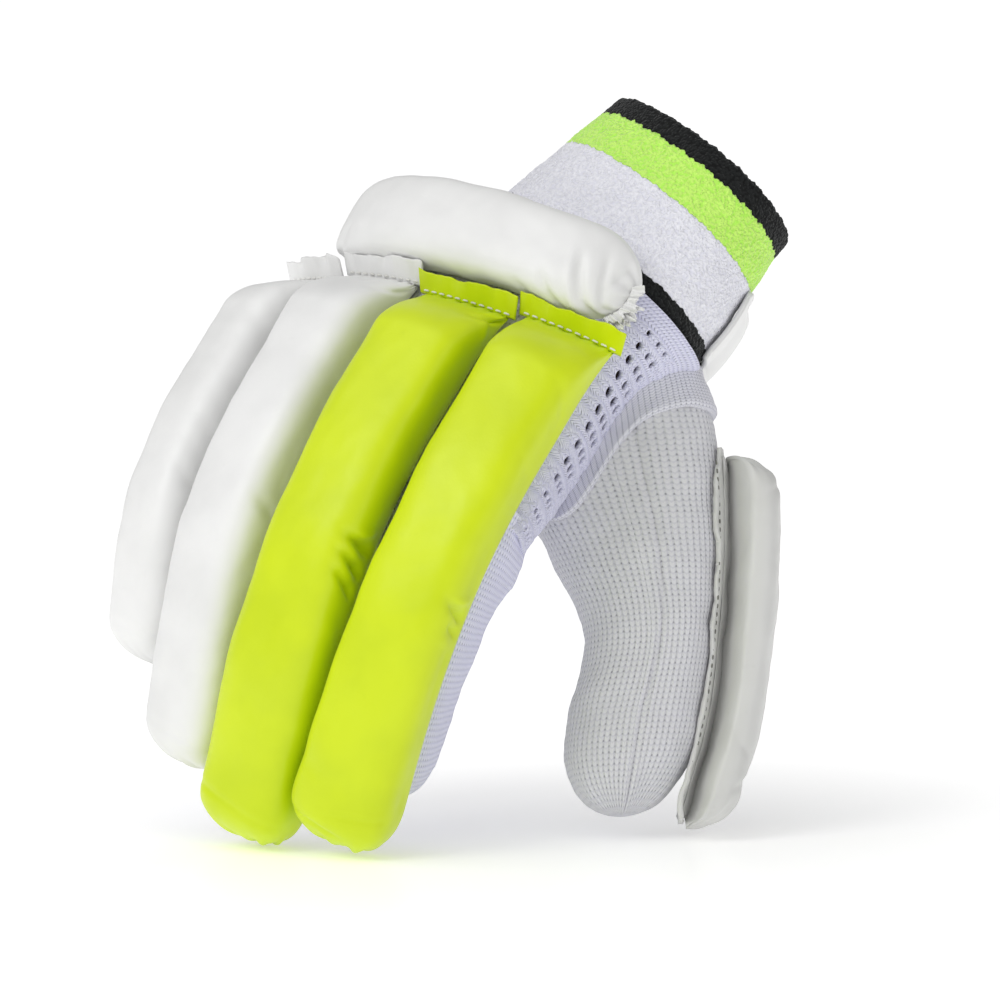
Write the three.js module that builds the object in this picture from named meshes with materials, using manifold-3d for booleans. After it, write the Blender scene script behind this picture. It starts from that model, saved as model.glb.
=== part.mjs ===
// A cricket batting glove for the right hand, in millimetres, as an unseen hand holds it: wrist up,
// fingertips down. Everything is laid out on a flat-lying hand first: x towards the little finger, y towards
// the fingertips and z out of the back of the hand, from the middle finger's knuckle. The whole hand is then
// turned into its standing pose.
import * as THREE from "three";
import { mergeVertices } from "three/addons/utils/BufferGeometryUtils.js";
import Module from "manifold-3d";

const wasm = await Module();
wasm.setup();

// Cloth and foam
const knitWall = 1.8;
const meshWall = 1.4;
const cuffWall = 2.8;
const flapWall = 1.1;
const seamGap = 0.35; // between two pieces that are sewn together
const rollGap = 0.7; // between two neighbouring finger rolls

// Hand
const handLength = 99; // knuckles to wrist seam
const stallDepth = 32; // back to front of a finger stall, and of the hand at the knuckles
const palmDepth = 56; // back to front of the hand at the heel of the thumb
const wristWidth = 81;
const wristDepth = 56;
const wristShift = -10; // the wrist's middle, towards the thumb
const wristDrop = 3; // the back of the wrist, below the back of the hand
const stallStart = -12; // where the hand ends and the finger stalls begin
const archRadius = 118; // the curve of the row of knuckles
const stallTipDepth = 17;
const stallInset = 1.6; // a stall is this much narrower than its roll, each side

// Finger rolls
const rollDepth = 21;
const rollUpper = 70; // stitch line to knuckle
const rollTipRound = 17;
const rollTopTaper = 22; // length over which a roll thins down to its stitch line
const rollTopPower = 1.7; // 1 thins it in a straight line, more keeps it full for longer
const rollPower = 3.2; // 2 is a round cross-section, more is squarer
const rollSides = 16;
const knuckleReach = 30; // half the length of the bend at the knuckle
const jointReach = 16; // half the length of the bend at the middle joint
const stallShort = 11; // a stall's tip stops this far short of its roll's tip

// Fingers. upper is a share of rollUpper, lower the length past the knuckle and joint the middle joint's
// share of it; flex and curl are the bends at the knuckle and at that joint, and splay is towards the little
// finger, in degrees. tip is the share of the width left at the fingertip, corner the radius of the roll's
// top corners.
// tip is the width at the fingertip as a share, corner the rounding of the roll's top corners.
const FINGERS = [
  {
    name: "index", width: 27.6, tip: 1.08, corner: 3,
    upper: 1.0, lower: 80, joint: 0.5, flex: 31, curl: 10, splay: 0.2,
  },
  {
    name: "middle", width: 28, tip: 1.04, corner: 3,
    upper: 0.97, lower: 88, joint: 0.5, flex: 32, curl: 10, splay: 5.3,
  },
  {
    name: "ring", width: 26.5, tip: 0.9, corner: 5,
    upper: 1.0, lower: 72, joint: 0.5, flex: 31, curl: 8, splay: 8.2,
  },
  {
    name: "little", width: 23, tip: 1.0, corner: 10,
    upper: 0.97, lower: 45, joint: 0.5, flex: 29, curl: 6, splay: 6,
  },
];
const middleFinger = 1;

// Seam flaps above the stitch line
const flapHeight = 6;
const flapLean = 2.4; // how far its edge leans away from the roll
const flapStiffLean = 0.8; // the same beside the knuckle pad's wide end
const flapRuffle = 0.9; // height of the waves along that edge
const flapWave = 1.7; // radians of wave from one point of the edge to the next

// Knuckle pad, across the back of the hand
const crossPadLength = 90;
const crossPadWidth = 26.5;
const crossPadDepth = 16;
const crossPadShift = 7; // its middle, towards the little finger
const crossPadBend = 2.6; // its little finger's end, towards the fingers
const crossPadRound = 16;
const crossPadTaper = 26; // length over which its ends grow thin
const crossPadSink = 0.95; // into the dip of the back of the hand towards the wrist
const crossPadSetback = 3.5; // from the rolls' ends

// Thumb
const thumbLength = 126;
const thumbDepth = 38; // palm side to back
const thumbWidth = 37;
const thumbPadDepth = 14.8;
const thumbPadWidth = 33;
const thumbPadStart = 0.19; // share of the thumb's length
const thumbPadRound = 13;
const thumbPadTipRound = 8;
const thumbPadReach = 4; // past the thumb's tip
const thumbFlangeWrap = 39; // degrees to each side of the thumb's back
const thumbFlangeRim = 3; // beyond the pad's start
const thumbFlangeEnd = 0.86; // share of the thumb's length
const thumbRootRise = 19; // the thumb's root above the wrist seam
const thumbRoot = { across: -24, along: thumbRootRise - handLength, up: -26 };
const thumbAim = new THREE.Vector3(-0.364, 0.818, -0.446);
const thumbBack = new THREE.Vector3(-0.779, -0.528, -0.334);

// Cuff, from the hand to its mouth
const cuffLean = 14; // degrees, towards the thumb
const cuffDip = 1.5; // degrees, towards the palm
const mouthWidth = 66.5;
const mouthDepth = 51;
const CUFF_BANDS = [
  { name: "cuff_stripe", length: 4.5, finish: "black" },
  { name: "cuff_white", length: 22, finish: "terry" },
  { name: "cuff_lime", length: 13, finish: "neon" },
  { name: "cuff_hem", length: 7.5, finish: "black" },
];

// Wrist strap
const strapStart = 2; // from the wrist seam
const strapWidth = 24;
const strapWall = 1.6;
const strapFrom = 196;
const strapTo = 300;
const strapOff = 12; // how far it stands off the cuff
const strapBow = 1.2;

// Eyelets in the side mesh: the first row's share of the hand's length, and the angles of their columns
const eyeletRows = 13;
const eyeletColumns = 3;
const eyeletFirst = 0.12;
const eyeletRun = 0.84;
const eyeletAngle = 8;
const eyeletPitch = 10;
const eyeletDrift = -8;
const eyeletSides = 6;
const eyeletWidth = 2.4;
const eyeletLength = 3.4;

// The pose of the hand, in degrees
const poseTurn = 131.2;
const poseDip = -50.4;
const poseRoll = -17;

const rad = THREE.MathUtils.degToRad;
const lerp = THREE.MathUtils.lerp;
const vec = (x, y, z) => new THREE.Vector3(x, y, z);

// Value of a table's column at a place between its rows, eased between them.
function tableAt(rows, place, column) {
  const last = rows.length - 1;
  const at = THREE.MathUtils.clamp(place, rows[0].at, rows[last].at);
  const i = Math.min(last - 1, rows.findLastIndex((row) => row.at <= at));
  const share = (at - rows[i].at) / (rows[i + 1].at - rows[i].at);
  const slope = (k) => {
    const a = Math.max(0, k - 1);
    const b = Math.min(last, k + 1);
    return (rows[b][column] - rows[a][column]) / (rows[b].at - rows[a].at);
  };
  const span = rows[i + 1].at - rows[i].at;
  const s2 = share * share;
  const s3 = s2 * share;
  return (
    rows[i][column] * (2 * s3 - 3 * s2 + 1) +
    slope(i) * span * (s3 - 2 * s2 + share) +
    rows[i + 1][column] * (3 * s2 - 2 * s3) +
    slope(i + 1) * span * (s3 - s2)
  );
}

// Point of a rounded box outline (a superellipse) with the given half sizes.
function roundBox(angle, halfX, halfY, power) {
  const c = Math.cos(angle);
  const s = Math.sin(angle);
  const r = (Math.abs(c) ** power + Math.abs(s) ** power) ** (-1 / power);
  return { x: halfX * c * r, y: halfY * s * r };
}

function geometryOf(points, faces) {
  const geometry = new THREE.BufferGeometry().setFromPoints(points);
  geometry.setIndex(faces.flat());
  return geometry;
}

// Closed skin over rings of points that all have the same count, with a fan over each end.
function skin(rings) {
  const n = rings[0].length;
  const points = rings.flat();
  const faces = [];
  for (let i = 0; i + 1 < rings.length; i++) {
    for (let j = 0; j < n; j++) {
      const a = i * n + j;
      const b = i * n + ((j + 1) % n);
      faces.push([a, b, b + n], [a, b + n, a + n]);
    }
  }
  for (const [first, turned] of [[0, true], [(rings.length - 1) * n, false]]) {
    const ring = points.slice(first, first + n);
    const middle = ring.reduce((sum, p) => sum.add(p), vec(0, 0, 0)).divideScalar(n);
    const centre = points.push(middle) - 1;
    for (let j = 0; j < n; j++) {
      const a = first + j;
      const b = first + ((j + 1) % n);
      faces.push(turned ? [b, a, centre] : [a, b, centre]);
    }
  }
  return outward(geometryOf(points, faces));
}

// Closed plate between an outer and an inner grid of points; wrap joins its last column to its first.
function plate(outer, inner, wrap = false) {
  const rows = outer.length;
  const n = outer[0].length;
  const points = [...outer.flat(), ...inner.flat()];
  const far = rows * n;
  const faces = [];
  const quad = (a, b, c, d) => faces.push([a, b, c], [a, c, d]);
  const columns = wrap ? n : n - 1;
  for (let i = 0; i + 1 < rows; i++) {
    for (let j = 0; j < columns; j++) {
      const a = i * n + j;
      const b = i * n + ((j + 1) % n);
      quad(a, b, b + n, a + n);
      quad(far + a + n, far + b + n, far + b, far + a);
    }
    if (!wrap) {
      const left = i * n;
      const right = i * n + n - 1;
      quad(left + n, far + left + n, far + left, left);
      quad(right, far + right, far + right + n, right + n);
    }
  }
  for (let j = 0; j < columns; j++) {
    const next = (j + 1) % n;
    const top = (rows - 1) * n;
    quad(next, j, far + j, far + next);
    quad(top + j, top + next, far + top + next, far + top + j);
  }
  return outward(geometryOf(points, faces));
}

// Turns every face over if the skin faces inwards.
function outward(geometry) {
  const p = geometry.attributes.position;
  const index = geometry.index.array;
  const [a, b, c] = [vec(0, 0, 0), vec(0, 0, 0), vec(0, 0, 0)];
  let volume = 0;
  for (let i = 0; i < index.length; i += 3) {
    a.fromBufferAttribute(p, index[i]);
    b.fromBufferAttribute(p, index[i + 1]);
    c.fromBufferAttribute(p, index[i + 2]);
    volume += a.dot(b.cross(c));
  }
  if (volume < 0) {
    for (let i = 0; i < index.length; i += 3) [index[i + 1], index[i + 2]] = [index[i + 2], index[i + 1]];
  }
  return geometry;
}

function solidOf(geometry) {
  const bare = geometry.clone();
  bare.deleteAttribute("normal");
  bare.deleteAttribute("uv");
  const merged = mergeVertices(bare, 1e-4);
  return new wasm.Manifold(
    new wasm.Mesh({
      numProp: 3,
      vertProperties: merged.attributes.position.array,
      triVerts: new Uint32Array(merged.index.array),
    }),
  );
}

// The biggest body of a solid, without the slivers a cut can leave.
function largest(solid) {
  return solid.decompose().reduce((a, b) => (a.volume() > b.volume() ? a : b));
}

function geometryFrom(solid) {
  const mesh = solid.getMesh();
  const geometry = new THREE.BufferGeometry();
  geometry.setAttribute("position", new THREE.BufferAttribute(mesh.vertProperties, 3));
  geometry.setIndex(new THREE.BufferAttribute(mesh.triVerts, 1));
  return geometry;
}

const MATERIALS = {
  knit: { color: 0xe4e4e8, roughness: 0.95 },
  terry: { color: 0xe9e9f2, roughness: 0.95 },
  mesh: { color: 0xdcdcec, roughness: 0.9 },
  white: { color: 0xebebea, roughness: 0.42 },
  lime: { color: 0xc8e619, roughness: 0.4 },
  neon: { color: 0x9bf53c, roughness: 0.9 },
  black: { color: 0x161818, roughness: 0.9 },
};
for (const finish of Object.values(MATERIALS)) {
  const { color, roughness } = finish;
  finish.material = new THREE.MeshStandardMaterial({ color, roughness, metalness: 0 });
}

const hand = new THREE.Group();

function place(name, finish, geometry) {
  const mesh = new THREE.Mesh(geometry, MATERIALS[finish].material);
  mesh.name = name;
  geometry.computeVertexNormals();
  hand.add(mesh);
  return mesh;
}

// The fingers side by side on the arch of the knuckles: each one's distance from the middle finger, along
// the arch.
FINGERS.forEach((finger, i) => {
  const from = Math.min(i, middleFinger);
  const to = Math.max(i, middleFinger);
  let apart = 0;
  for (let k = from; k < to; k++) apart += (FINGERS[k].width + FINGERS[k + 1].width) / 2 + rollGap;
  finger.offset = i < middleFinger ? -apart : apart;
});
const rowStart = FINGERS[0].offset - FINGERS[0].width / 2;
const rowEnd = FINGERS.at(-1).offset + FINGERS.at(-1).width / 2;
const rowWidth = rowEnd - rowStart;
const rowMiddle = (rowStart + rowEnd) / 2;
const backHeight = stallDepth / 2; // the back of the hand, above the knuckle's middle

// Point on the arch: across is measured along it and up out of it.
function onArch(across, up, curve = 1) {
  const radius = archRadius / Math.max(curve, 0.02);
  const angle = across / radius;
  return vec((radius + up) * Math.sin(angle), 0, (radius + up) * Math.cos(angle) - radius);
}

// Frame on a finger's middle line at a distance from its knuckle: past it for the finger, before it for
// the hand.
function fingerFrame(finger, distance) {
  const tilt = finger.offset / archRadius;
  const lateral = vec(Math.cos(tilt), 0, -Math.sin(tilt));
  const dorsal = vec(Math.sin(tilt), 0, Math.cos(tilt));
  const direction = (bend, splay) => {
    const down = vec(0, Math.cos(rad(bend)), 0).addScaledVector(dorsal, -Math.sin(rad(bend)));
    return down.multiplyScalar(Math.cos(rad(splay))).addScaledVector(lateral, Math.sin(rad(splay)));
  };
  const { flex, curl, splay } = finger;
  const aims = [direction(0, 0), direction(flex, splay), direction(flex + curl, splay)];
  const corners = [
    { at: 0, reach: Math.min(knuckleReach, finger.lower / 3), point: onArch(finger.offset, 0) },
    { at: finger.lower * finger.joint, reach: jointReach },
  ];
  corners[1].reach = Math.min(jointReach, corners[1].at - corners[0].reach, finger.lower - corners[1].at);
  corners[1].point = corners[0].point.clone().addScaledVector(aims[1], corners[1].at);
  const corner = distance < corners[0].reach ? 0 : 1;
  const { at, reach, point } = corners[corner];
  const past = distance - at;
  const [before, after] = [aims[corner], aims[corner + 1]];
  const centre = point.clone();
  const along = vec(0, 0, 0);
  if (past <= -reach) {
    centre.addScaledVector(before, past);
    along.copy(before);
  } else if (past >= reach) {
    centre.addScaledVector(after, past);
    along.copy(after);
  } else {
    centre.addScaledVector(before, -((reach - past) ** 2) / (4 * reach));
    centre.addScaledVector(after, (reach + past) ** 2 / (4 * reach));
    along.addScaledVector(before, (reach - past) / 2).addScaledVector(after, (reach + past) / 2).normalize();
  }
  const side = lateral.clone().addScaledVector(along, -lateral.dot(along)).normalize();
  return { centre, along, side, back: vec(0, 0, 0).crossVectors(side, along) };
}

// Ring of a rounded box in a frame, its middle raised out of the back by lift.
function ringIn(frame, halfWide, halfDeep, power, count, lift = 0) {
  const middle = frame.centre.clone().addScaledVector(frame.back, lift);
  return Array.from({ length: count }, (_, j) => {
    const p = roundBox((j / count) * 2 * Math.PI, halfWide, halfDeep, power);
    return middle.clone().addScaledVector(frame.side, p.x).addScaledVector(frame.back, p.y);
  });
}

// Share of full size at a distance from a rounded end.
function endRound(distance, radius, power) {
  const missing = Math.max(0, 1 - distance / radius);
  return (1 - missing ** power) ** (1 / power);
}

// Places along a piece, closer together where its ends are round.
function stations(start, end, startRound, endRoundRadius, steps, middle) {
  const places = [];
  for (let i = 0; i < steps; i++) {
    const turned = ((i + 0.35) / steps) * (Math.PI / 2);
    places.push(start + startRound * (1 - Math.cos(turned)));
  }
  for (let i = 0; i <= middle; i++) places.push(lerp(start + startRound, end - endRoundRadius, i / middle));
  for (let i = steps - 1; i >= 0; i--) {
    places.push(end - endRoundRadius * (1 - Math.cos(((i + 0.35) / steps) * (Math.PI / 2))));
  }
  return places;
}

// Width of a finger's roll at a place, which changes evenly from the knuckle to the tip.
function widthAt(finger, at) {
  return finger.width * lerp(1, finger.tip, Math.max(0, at / finger.lower));
}

// Finger roll: a foam sausage on the back of its finger, from the stitch line over the knuckle to the
// fingertip.
function fingerRoll(finger) {
  const start = -rollUpper * finger.upper;
  const rings = stations(start, finger.lower, rollTopTaper, rollTipRound, 3, 9).map((at) => {
    const taper = 1 - Math.max(0, 1 - (at - start) / rollTopTaper) ** rollTopPower;
    const thin = taper * endRound(finger.lower - at, rollTipRound * 0.8, 2.2);
    const narrow = endRound(at - start, finger.corner, 3) * endRound(finger.lower - at, rollTipRound, 2.2);
    const halfDeep = (rollDepth / 2) * thin;
    const halfWide = (widthAt(finger, at) / 2) * narrow;
    const lift = backHeight + seamGap + halfDeep;
    return ringIn(fingerFrame(finger, at), halfWide, halfDeep, rollPower, rollSides, lift);
  });
  return skin(rings);
}

// Finger stall: the cloth finger under a roll, closed at its tip and open to the hand.
const stallSides = 12;
const stallLap = 6; // how far a stall reaches back over the hand's edge, before it is cut there
function fingerStall(finger) {
  const end = finger.lower - stallShort;
  const tipRound = stallDepth / 2;
  const body = (inset, from) => {
    const places = stations(from, end - inset, 0.01, tipRound - inset, 3, 5).slice(3);
    return skin(
      places.map((at) => {
        const size = endRound(end - inset - at, tipRound - inset, 2);
        const halfWide = widthAt(finger, at) / 2 - stallInset - inset;
        const halfDeep = lerp(stallDepth, stallTipDepth, Math.sqrt(Math.max(0, at / end))) / 2;
        const frame = fingerFrame(finger, at);
        const lift = backHeight - halfDeep;
        return ringIn(frame, halfWide * size, (halfDeep - inset) * size, 3, stallSides, lift);
      }),
    );
  };
  const start = stallStart - stallLap;
  const shell = solidOf(body(0, start)).subtract(solidOf(body(knitWall, start - stallLap)));
  return geometryFrom(largest(shell.subtract(handVolume)));
}

// Hand: sections from the wrist seam (0) to the finger stalls (1). Width and depth run from the wrist's (0)
// to the knuckles' (1), and so do the middle's shift and the arch; palm is the share of the palm's own depth.
const HAND_SECTIONS = [
  { at: 0.0, width: 0.0, shift: 0.0, palm: 0.0, arch: 0.0, lean: 1.0, power: 2.2 },
  { at: 0.12, width: 0.42, shift: 0.35, palm: 0.25, arch: 0.35, lean: 0.55, power: 2.5 },
  { at: 0.3, width: 0.8, shift: 0.78, palm: 0.85, arch: 0.8, lean: 0.1, power: 3.0 },
  { at: 0.6, width: 0.95, shift: 0.95, palm: 0.75, arch: 1.0, lean: 0.0, power: 3.4 },
  { at: 1.0, width: 1.0, shift: 1.0, palm: 0.0, arch: 1.0, lean: 0.0, power: 3.6 },
];
const handSpan = handLength + stallStart - seamGap;

function handSection(at) {
  const value = (column) => tableAt(HAND_SECTIONS, at, column);
  const plain = lerp(wristDepth, stallDepth, Math.min(1, at / HAND_SECTIONS[2].at));
  const depth = lerp(plain, palmDepth, value("palm"));
  return {
    along: -handLength + at * handSpan,
    halfWide: lerp(wristWidth, rowWidth - 2 * stallInset, value("width")) / 2,
    halfDeep: depth / 2,
    across: lerp(wristShift, rowMiddle, value("shift")),
    curve: value("arch"),
    lean: rad(cuffLean) * value("lean"),
    dip: rad(cuffDip) * value("lean"),
    drop: wristDrop * value("lean"),
    power: value("power"),
  };
}

// Point on the hand's cloth: angle 0 faces the thumb, 90 the back, 180 the little finger and 270 the palm.
function handPoint(at, degrees, inset = 0) {
  const s = handSection(at);
  const p = roundBox(rad(degrees), s.halfWide - inset, s.halfDeep - inset, s.power);
  const up = p.y + backHeight - s.halfDeep - s.drop;
  const point = onArch(s.across - p.x, up, s.curve);
  point.y = s.along + p.x * Math.tan(s.lean) - p.y * Math.tan(s.dip);
  const bent = Math.max(0, s.along + knuckleReach);
  point.z -= (bent ** 2 / (4 * knuckleReach)) * Math.sin(rad(FINGERS[middleFinger].flex));
  return point;
}

// One panel of the hand between two seams, each a run of angles from the wrist to the fingers.
function handPanel(from, to, wall, rows, columns) {
  const seam = (angles, at) => tableAt(angles, at, "angle");
  const grid = (inset) =>
    Array.from({ length: rows + 1 }, (_, i) =>
      Array.from({ length: columns + 1 }, (_, j) => {
        const at = i / rows;
        return handPoint(at, lerp(seam(from, at), seam(to, at), j / columns), inset);
      }),
    );
  return plate(grid(0), grid(wall));
}

// Seams of the hand, as angles from wrist to fingers; the gap keeps two panels apart.
const seamAngle = 0.5;
const THUMB_SIDE_SEAM = [
  { at: 0, angle: -62 },
  { at: 0.45, angle: -50 },
  { at: 1, angle: -40 },
];
const BACK_SEAM = [
  { at: 0, angle: 54 },
  { at: 1, angle: 48 },
];
const LITTLE_SEAM = [
  { at: 0, angle: 200 },
  { at: 1, angle: 205 },
];
const moved = (rows, by) => rows.map((row) => ({ at: row.at, angle: row.angle + by }));

// Cuff: its own frame at the wrist seam, with z towards the mouth.
const cuffLength = CUFF_BANDS.reduce((sum, band) => sum + band.length, 0);
const wristMiddle = vec(wristShift, -handLength - seamGap, backHeight - wristDrop - wristDepth / 2);
const cuffFrame = new THREE.Matrix4().makeRotationZ(rad(-cuffLean));
cuffFrame.multiply(new THREE.Matrix4().makeRotationX(rad(90 + cuffDip)));
cuffFrame.setPosition(wristMiddle);
const wristFacing = vec(0, 0, -1).transformDirection(cuffFrame).toArray();
const wristAway = wristMiddle.dot(vec(...wristFacing)) + seamGap;

// Thumb: its own frame, with x out of its back, y across it and z towards its tip.
const thumbFrame = new THREE.Matrix4();
{
  const aim = thumbAim.clone().normalize();
  const back = thumbBack.clone().addScaledVector(aim, -thumbBack.dot(aim)).normalize();
  thumbFrame.makeBasis(back, vec(0, 0, 0).crossVectors(aim, back), aim);
  thumbFrame.setPosition(thumbRoot.across, thumbRoot.along, thumbRoot.up);
}
// Sections from root (0) to tip (1): bow is how far the middle lies out of the back, as a share of the depth.
const THUMB_SECTIONS = [
  { at: 0.0, bow: -0.1, deep: 1.45, wide: 0.8 },
  { at: 0.2, bow: -0.08, deep: 1.6, wide: 0.86 },
  { at: 0.4, bow: 0.06, deep: 1.28, wide: 0.96 },
  { at: 0.6, bow: 0.13, deep: 0.96, wide: 1.0 },
  { at: 0.8, bow: -0.03, deep: 1.03, wide: 0.98 },
  { at: 1.0, bow: -0.16, deep: 0.82, wide: 0.9 },
];
function thumbStation(at) {
  return {
    centre: vec(tableAt(THUMB_SECTIONS, at, "bow") * thumbDepth, 0, at * thumbLength),
    halfDeep: (tableAt(THUMB_SECTIONS, at, "deep") * thumbDepth) / 2,
    halfWide: (tableAt(THUMB_SECTIONS, at, "wide") * thumbWidth) / 2,
  };
}
const thumbPower = 2.5;
const thumbSides = 19;
const thumbAxes = { side: vec(0, 1, 0), back: vec(1, 0, 0) };

function thumbBody(inset, from) {
  const tipRound = thumbWidth / 2 - inset;
  const places = stations(from * thumbLength, thumbLength - inset, 0.01, tipRound, 4, 7).slice(4);
  const rings = places.map((at) => {
    const s = thumbStation(at / thumbLength);
    const size = endRound(thumbLength - inset - at, tipRound, 2);
    const frame = { centre: vec(s.centre.x, 0, at), ...thumbAxes };
    return ringIn(frame, (s.halfWide - inset) * size, (s.halfDeep - inset) * size, thumbPower, thumbSides);
  });
  return solidOf(skin(rings).applyMatrix4(thumbFrame));
}

// The whole hand as a solid, to cut the stalls and the thumb with.
const handRings = 8;
const handSides = 30;
function handBody(outset) {
  const rings = Array.from({ length: handRings + 1 }, (_, i) =>
    Array.from({ length: handSides }, (_, j) => handPoint(i / handRings, (j * 360) / handSides, -outset)),
  );
  rings[0].forEach((p) => (p.y -= outset));
  rings.at(-1).forEach((p) => (p.y += outset));
  return solidOf(skin(rings));
}

const handVolume = handBody(2 * seamGap);
const thumbHollow = thumbBody(knitWall, 0.02);
const thumbHole = thumbBody(-seamGap, 0.0);

// Eyelets: short pins through the mesh, in rows along the side of the hand, smaller towards both ends.
function eyelets() {
  const pins = [];
  for (let i = 0; i < eyeletRows; i++) {
    for (let j = 0; j < eyeletColumns; j++) {
      const along = eyeletFirst + (eyeletRun * i) / (eyeletRows - 1);
      const full = Math.sin(Math.PI * Math.min(1, (i + 1.5) / (eyeletRows + 1))) ** 0.6;
      const degrees = eyeletAngle + eyeletPitch * j + eyeletDrift * (i / eyeletRows);
      const outer = handPoint(along, degrees, -meshWall);
      const inner = handPoint(along, degrees, 2 * meshWall);
      const half = eyeletWidth / 2;
      const pin = new THREE.CylinderGeometry(half, half, outer.distanceTo(inner), eyeletSides);
      pin.scale(full, 1, (full * eyeletLength) / eyeletWidth);
      pin.applyMatrix4(
        new THREE.Matrix4().makeRotationFromQuaternion(
          new THREE.Quaternion().setFromUnitVectors(vec(0, 1, 0), outer.clone().sub(inner).normalize()),
        ),
      );
      const middle = outer.add(inner).divideScalar(2);
      pin.translate(middle.x, middle.y, middle.z);
      pins.push(solidOf(pin));
    }
  }
  return pins;
}

// Knuckle pad across the back of the hand.
const padSides = 16;
function crossPad() {
  const middle = -rollUpper - crossPadSetback - crossPadWidth / 2;
  const half = crossPadLength / 2;
  const places = stations(-half, half, crossPadRound, crossPadRound, 3, 8);
  return skin(
    places.map((across) => {
      const size = endRound(half - Math.abs(across), crossPadRound, 2.3);
      const thick = endRound(half - Math.abs(across), crossPadTaper, 2.3);
      const halfDeep = (crossPadDepth / 2) * thick;
      return Array.from({ length: padSides }, (_, j) => {
        const p = roundBox((j / padSides) * 2 * Math.PI, (crossPadWidth / 2) * size, halfDeep, 3);
        const point = onArch(across + crossPadShift, backHeight + seamGap - crossPadSink + halfDeep + p.y);
        point.y = middle + p.x + crossPadBend * Math.max(0, across / half) ** 2;
        return point;
      });
    }),
  );
}

// Seam flap: the ruffled edge of a roll's cover beyond its stitch line, standing off the back of the hand.
function seamFlap(finger, phase, lean) {
  const top = -rollUpper * finger.upper - seamGap;
  const grid = (lift) =>
    Array.from({ length: 4 }, (_, i) =>
      Array.from({ length: 9 }, (_, j) => {
        const share = i / 3;
        const across = lerp(-0.5, 0.5, j / 8) * (finger.width - 0.4);
        const wave = flapRuffle * share * Math.sin(j * flapWave + phase);
        const point = onArch(finger.offset + across, backHeight + seamGap + lift + share * flapHeight + wave);
        point.y = top - share * lean;
        return point;
      }),
    );
  return plate(grid(flapWall), grid(0));
}

// Thumb flange: the flat sheet that the thumb pad is sewn to, wrapped round the back of the thumb.
function thumbFlange() {
  const start = thumbPadStart * thumbLength;
  const grid = (lift) =>
    Array.from({ length: 10 }, (_, i) => {
      const at = lerp(start, thumbFlangeEnd * thumbLength, i / 9);
      const s = thumbStation(at / thumbLength);
      const tipRound = thumbWidth / 2;
      const size = endRound(thumbLength - at, tipRound, 2);
      return Array.from({ length: 9 }, (_, j) => {
        const degrees = lerp(-thumbFlangeWrap, thumbFlangeWrap, j / 8);
        const off = 2 * seamGap + lift;
        const p = roundBox(rad(90 + degrees), s.halfWide * size + off, s.halfDeep * size + off, thumbPower);
        return vec(s.centre.x + p.y, p.x, at);
      });
    });
  return plate(grid(flapWall), grid(0)).applyMatrix4(thumbFrame);
}

// Thumb pad: a foam roll on the back of the thumb.
function thumbPad() {
  const start = thumbPadStart * thumbLength + thumbFlangeRim;
  const end = thumbLength + thumbPadReach;
  const rings = stations(start, end, thumbPadRound, thumbPadTipRound, 3, 8).map((at) => {
    const size = (power) => {
      return endRound(at - start, thumbPadRound, power) * endRound(end - at, thumbPadTipRound, power);
    };
    const halfDeep = (thumbPadDepth / 2) * size(2.3);
    const halfWide = (thumbPadWidth / 2) * size(2.6);
    const s = thumbStation(at / thumbLength);
    const frame = { centre: s.centre.clone().setZ(at), ...thumbAxes };
    return ringIn(frame, halfWide, halfDeep, 3, padSides, s.halfDeep + flapWall + 3 * seamGap + halfDeep);
  });
  return skin(rings).applyMatrix4(thumbFrame);
}

// Cuff: rings around its own middle line, from the wrist seam.
const cuffSides = 27;

// Angle 0 faces the little finger, 90 the back, 180 the thumb and 270 the palm.
function cuffPoint(at, inset, degrees) {
  const share = at / cuffLength;
  const halfWide = lerp(wristWidth, mouthWidth, share) / 2 - inset;
  const halfDeep = lerp(wristDepth, mouthDepth, share) / 2 - inset;
  const p = roundBox(rad(degrees), halfWide, halfDeep, 2.2);
  return vec(p.x, p.y, at).applyMatrix4(cuffFrame);
}

function cuffBand(from, to) {
  const places = [from, (from + to) / 2, to];
  const ring = (at, inset) => {
    return Array.from({ length: cuffSides }, (_, j) => cuffPoint(at, inset, (j * 360) / cuffSides));
  };
  const grid = (inset) => places.map((at) => ring(at, inset));
  return plate(grid(0), grid(cuffWall), true);
}

// Wrist strap: a smooth tab round the palm side of the cuff, standing off it at its free end.
function wristStrap() {
  const grid = (lift) =>
    Array.from({ length: 3 }, (_, i) => {
      const at = lerp(strapStart, strapStart + strapWidth, i / 2);
      return Array.from({ length: 15 }, (_, j) => {
        const share = j / 14;
        const off = strapOff * Math.sin(Math.PI * Math.min(1, (1 - share) * 1.25)) ** 2;
        const round = Math.sin((Math.PI * i) / 2) * strapBow;
        return cuffPoint(at, -(seamGap + off + round + lift), lerp(strapFrom, strapTo, share));
      });
    });
  return plate(grid(strapWall), grid(0));
}

for (const [i, finger] of FINGERS.entries()) {
  const finish = i <= middleFinger ? "lime" : "white";
  place(finger.name + "_roll", finish, fingerRoll(finger));
  place(finger.name + "_flap", finish, seamFlap(finger, i * 2, i <= middleFinger ? flapLean : flapStiffLean));
  place(finger.name + "_stall", "knit", fingerStall(finger));
}
place("knuckle_pad", "white", crossPad());
const backStart = moved(BACK_SEAM, seamAngle);
place("back_panel", "knit", handPanel(backStart, moved(LITTLE_SEAM, -seamAngle), knitWall, 8, 12));

const palmTo = moved(THUMB_SIDE_SEAM, 360 - seamAngle);
const palm = solidOf(handPanel(moved(LITTLE_SEAM, seamAngle), palmTo, knitWall, 8, 12));
place("palm_panel", "knit", geometryFrom(largest(palm.subtract(thumbHole))));

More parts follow.
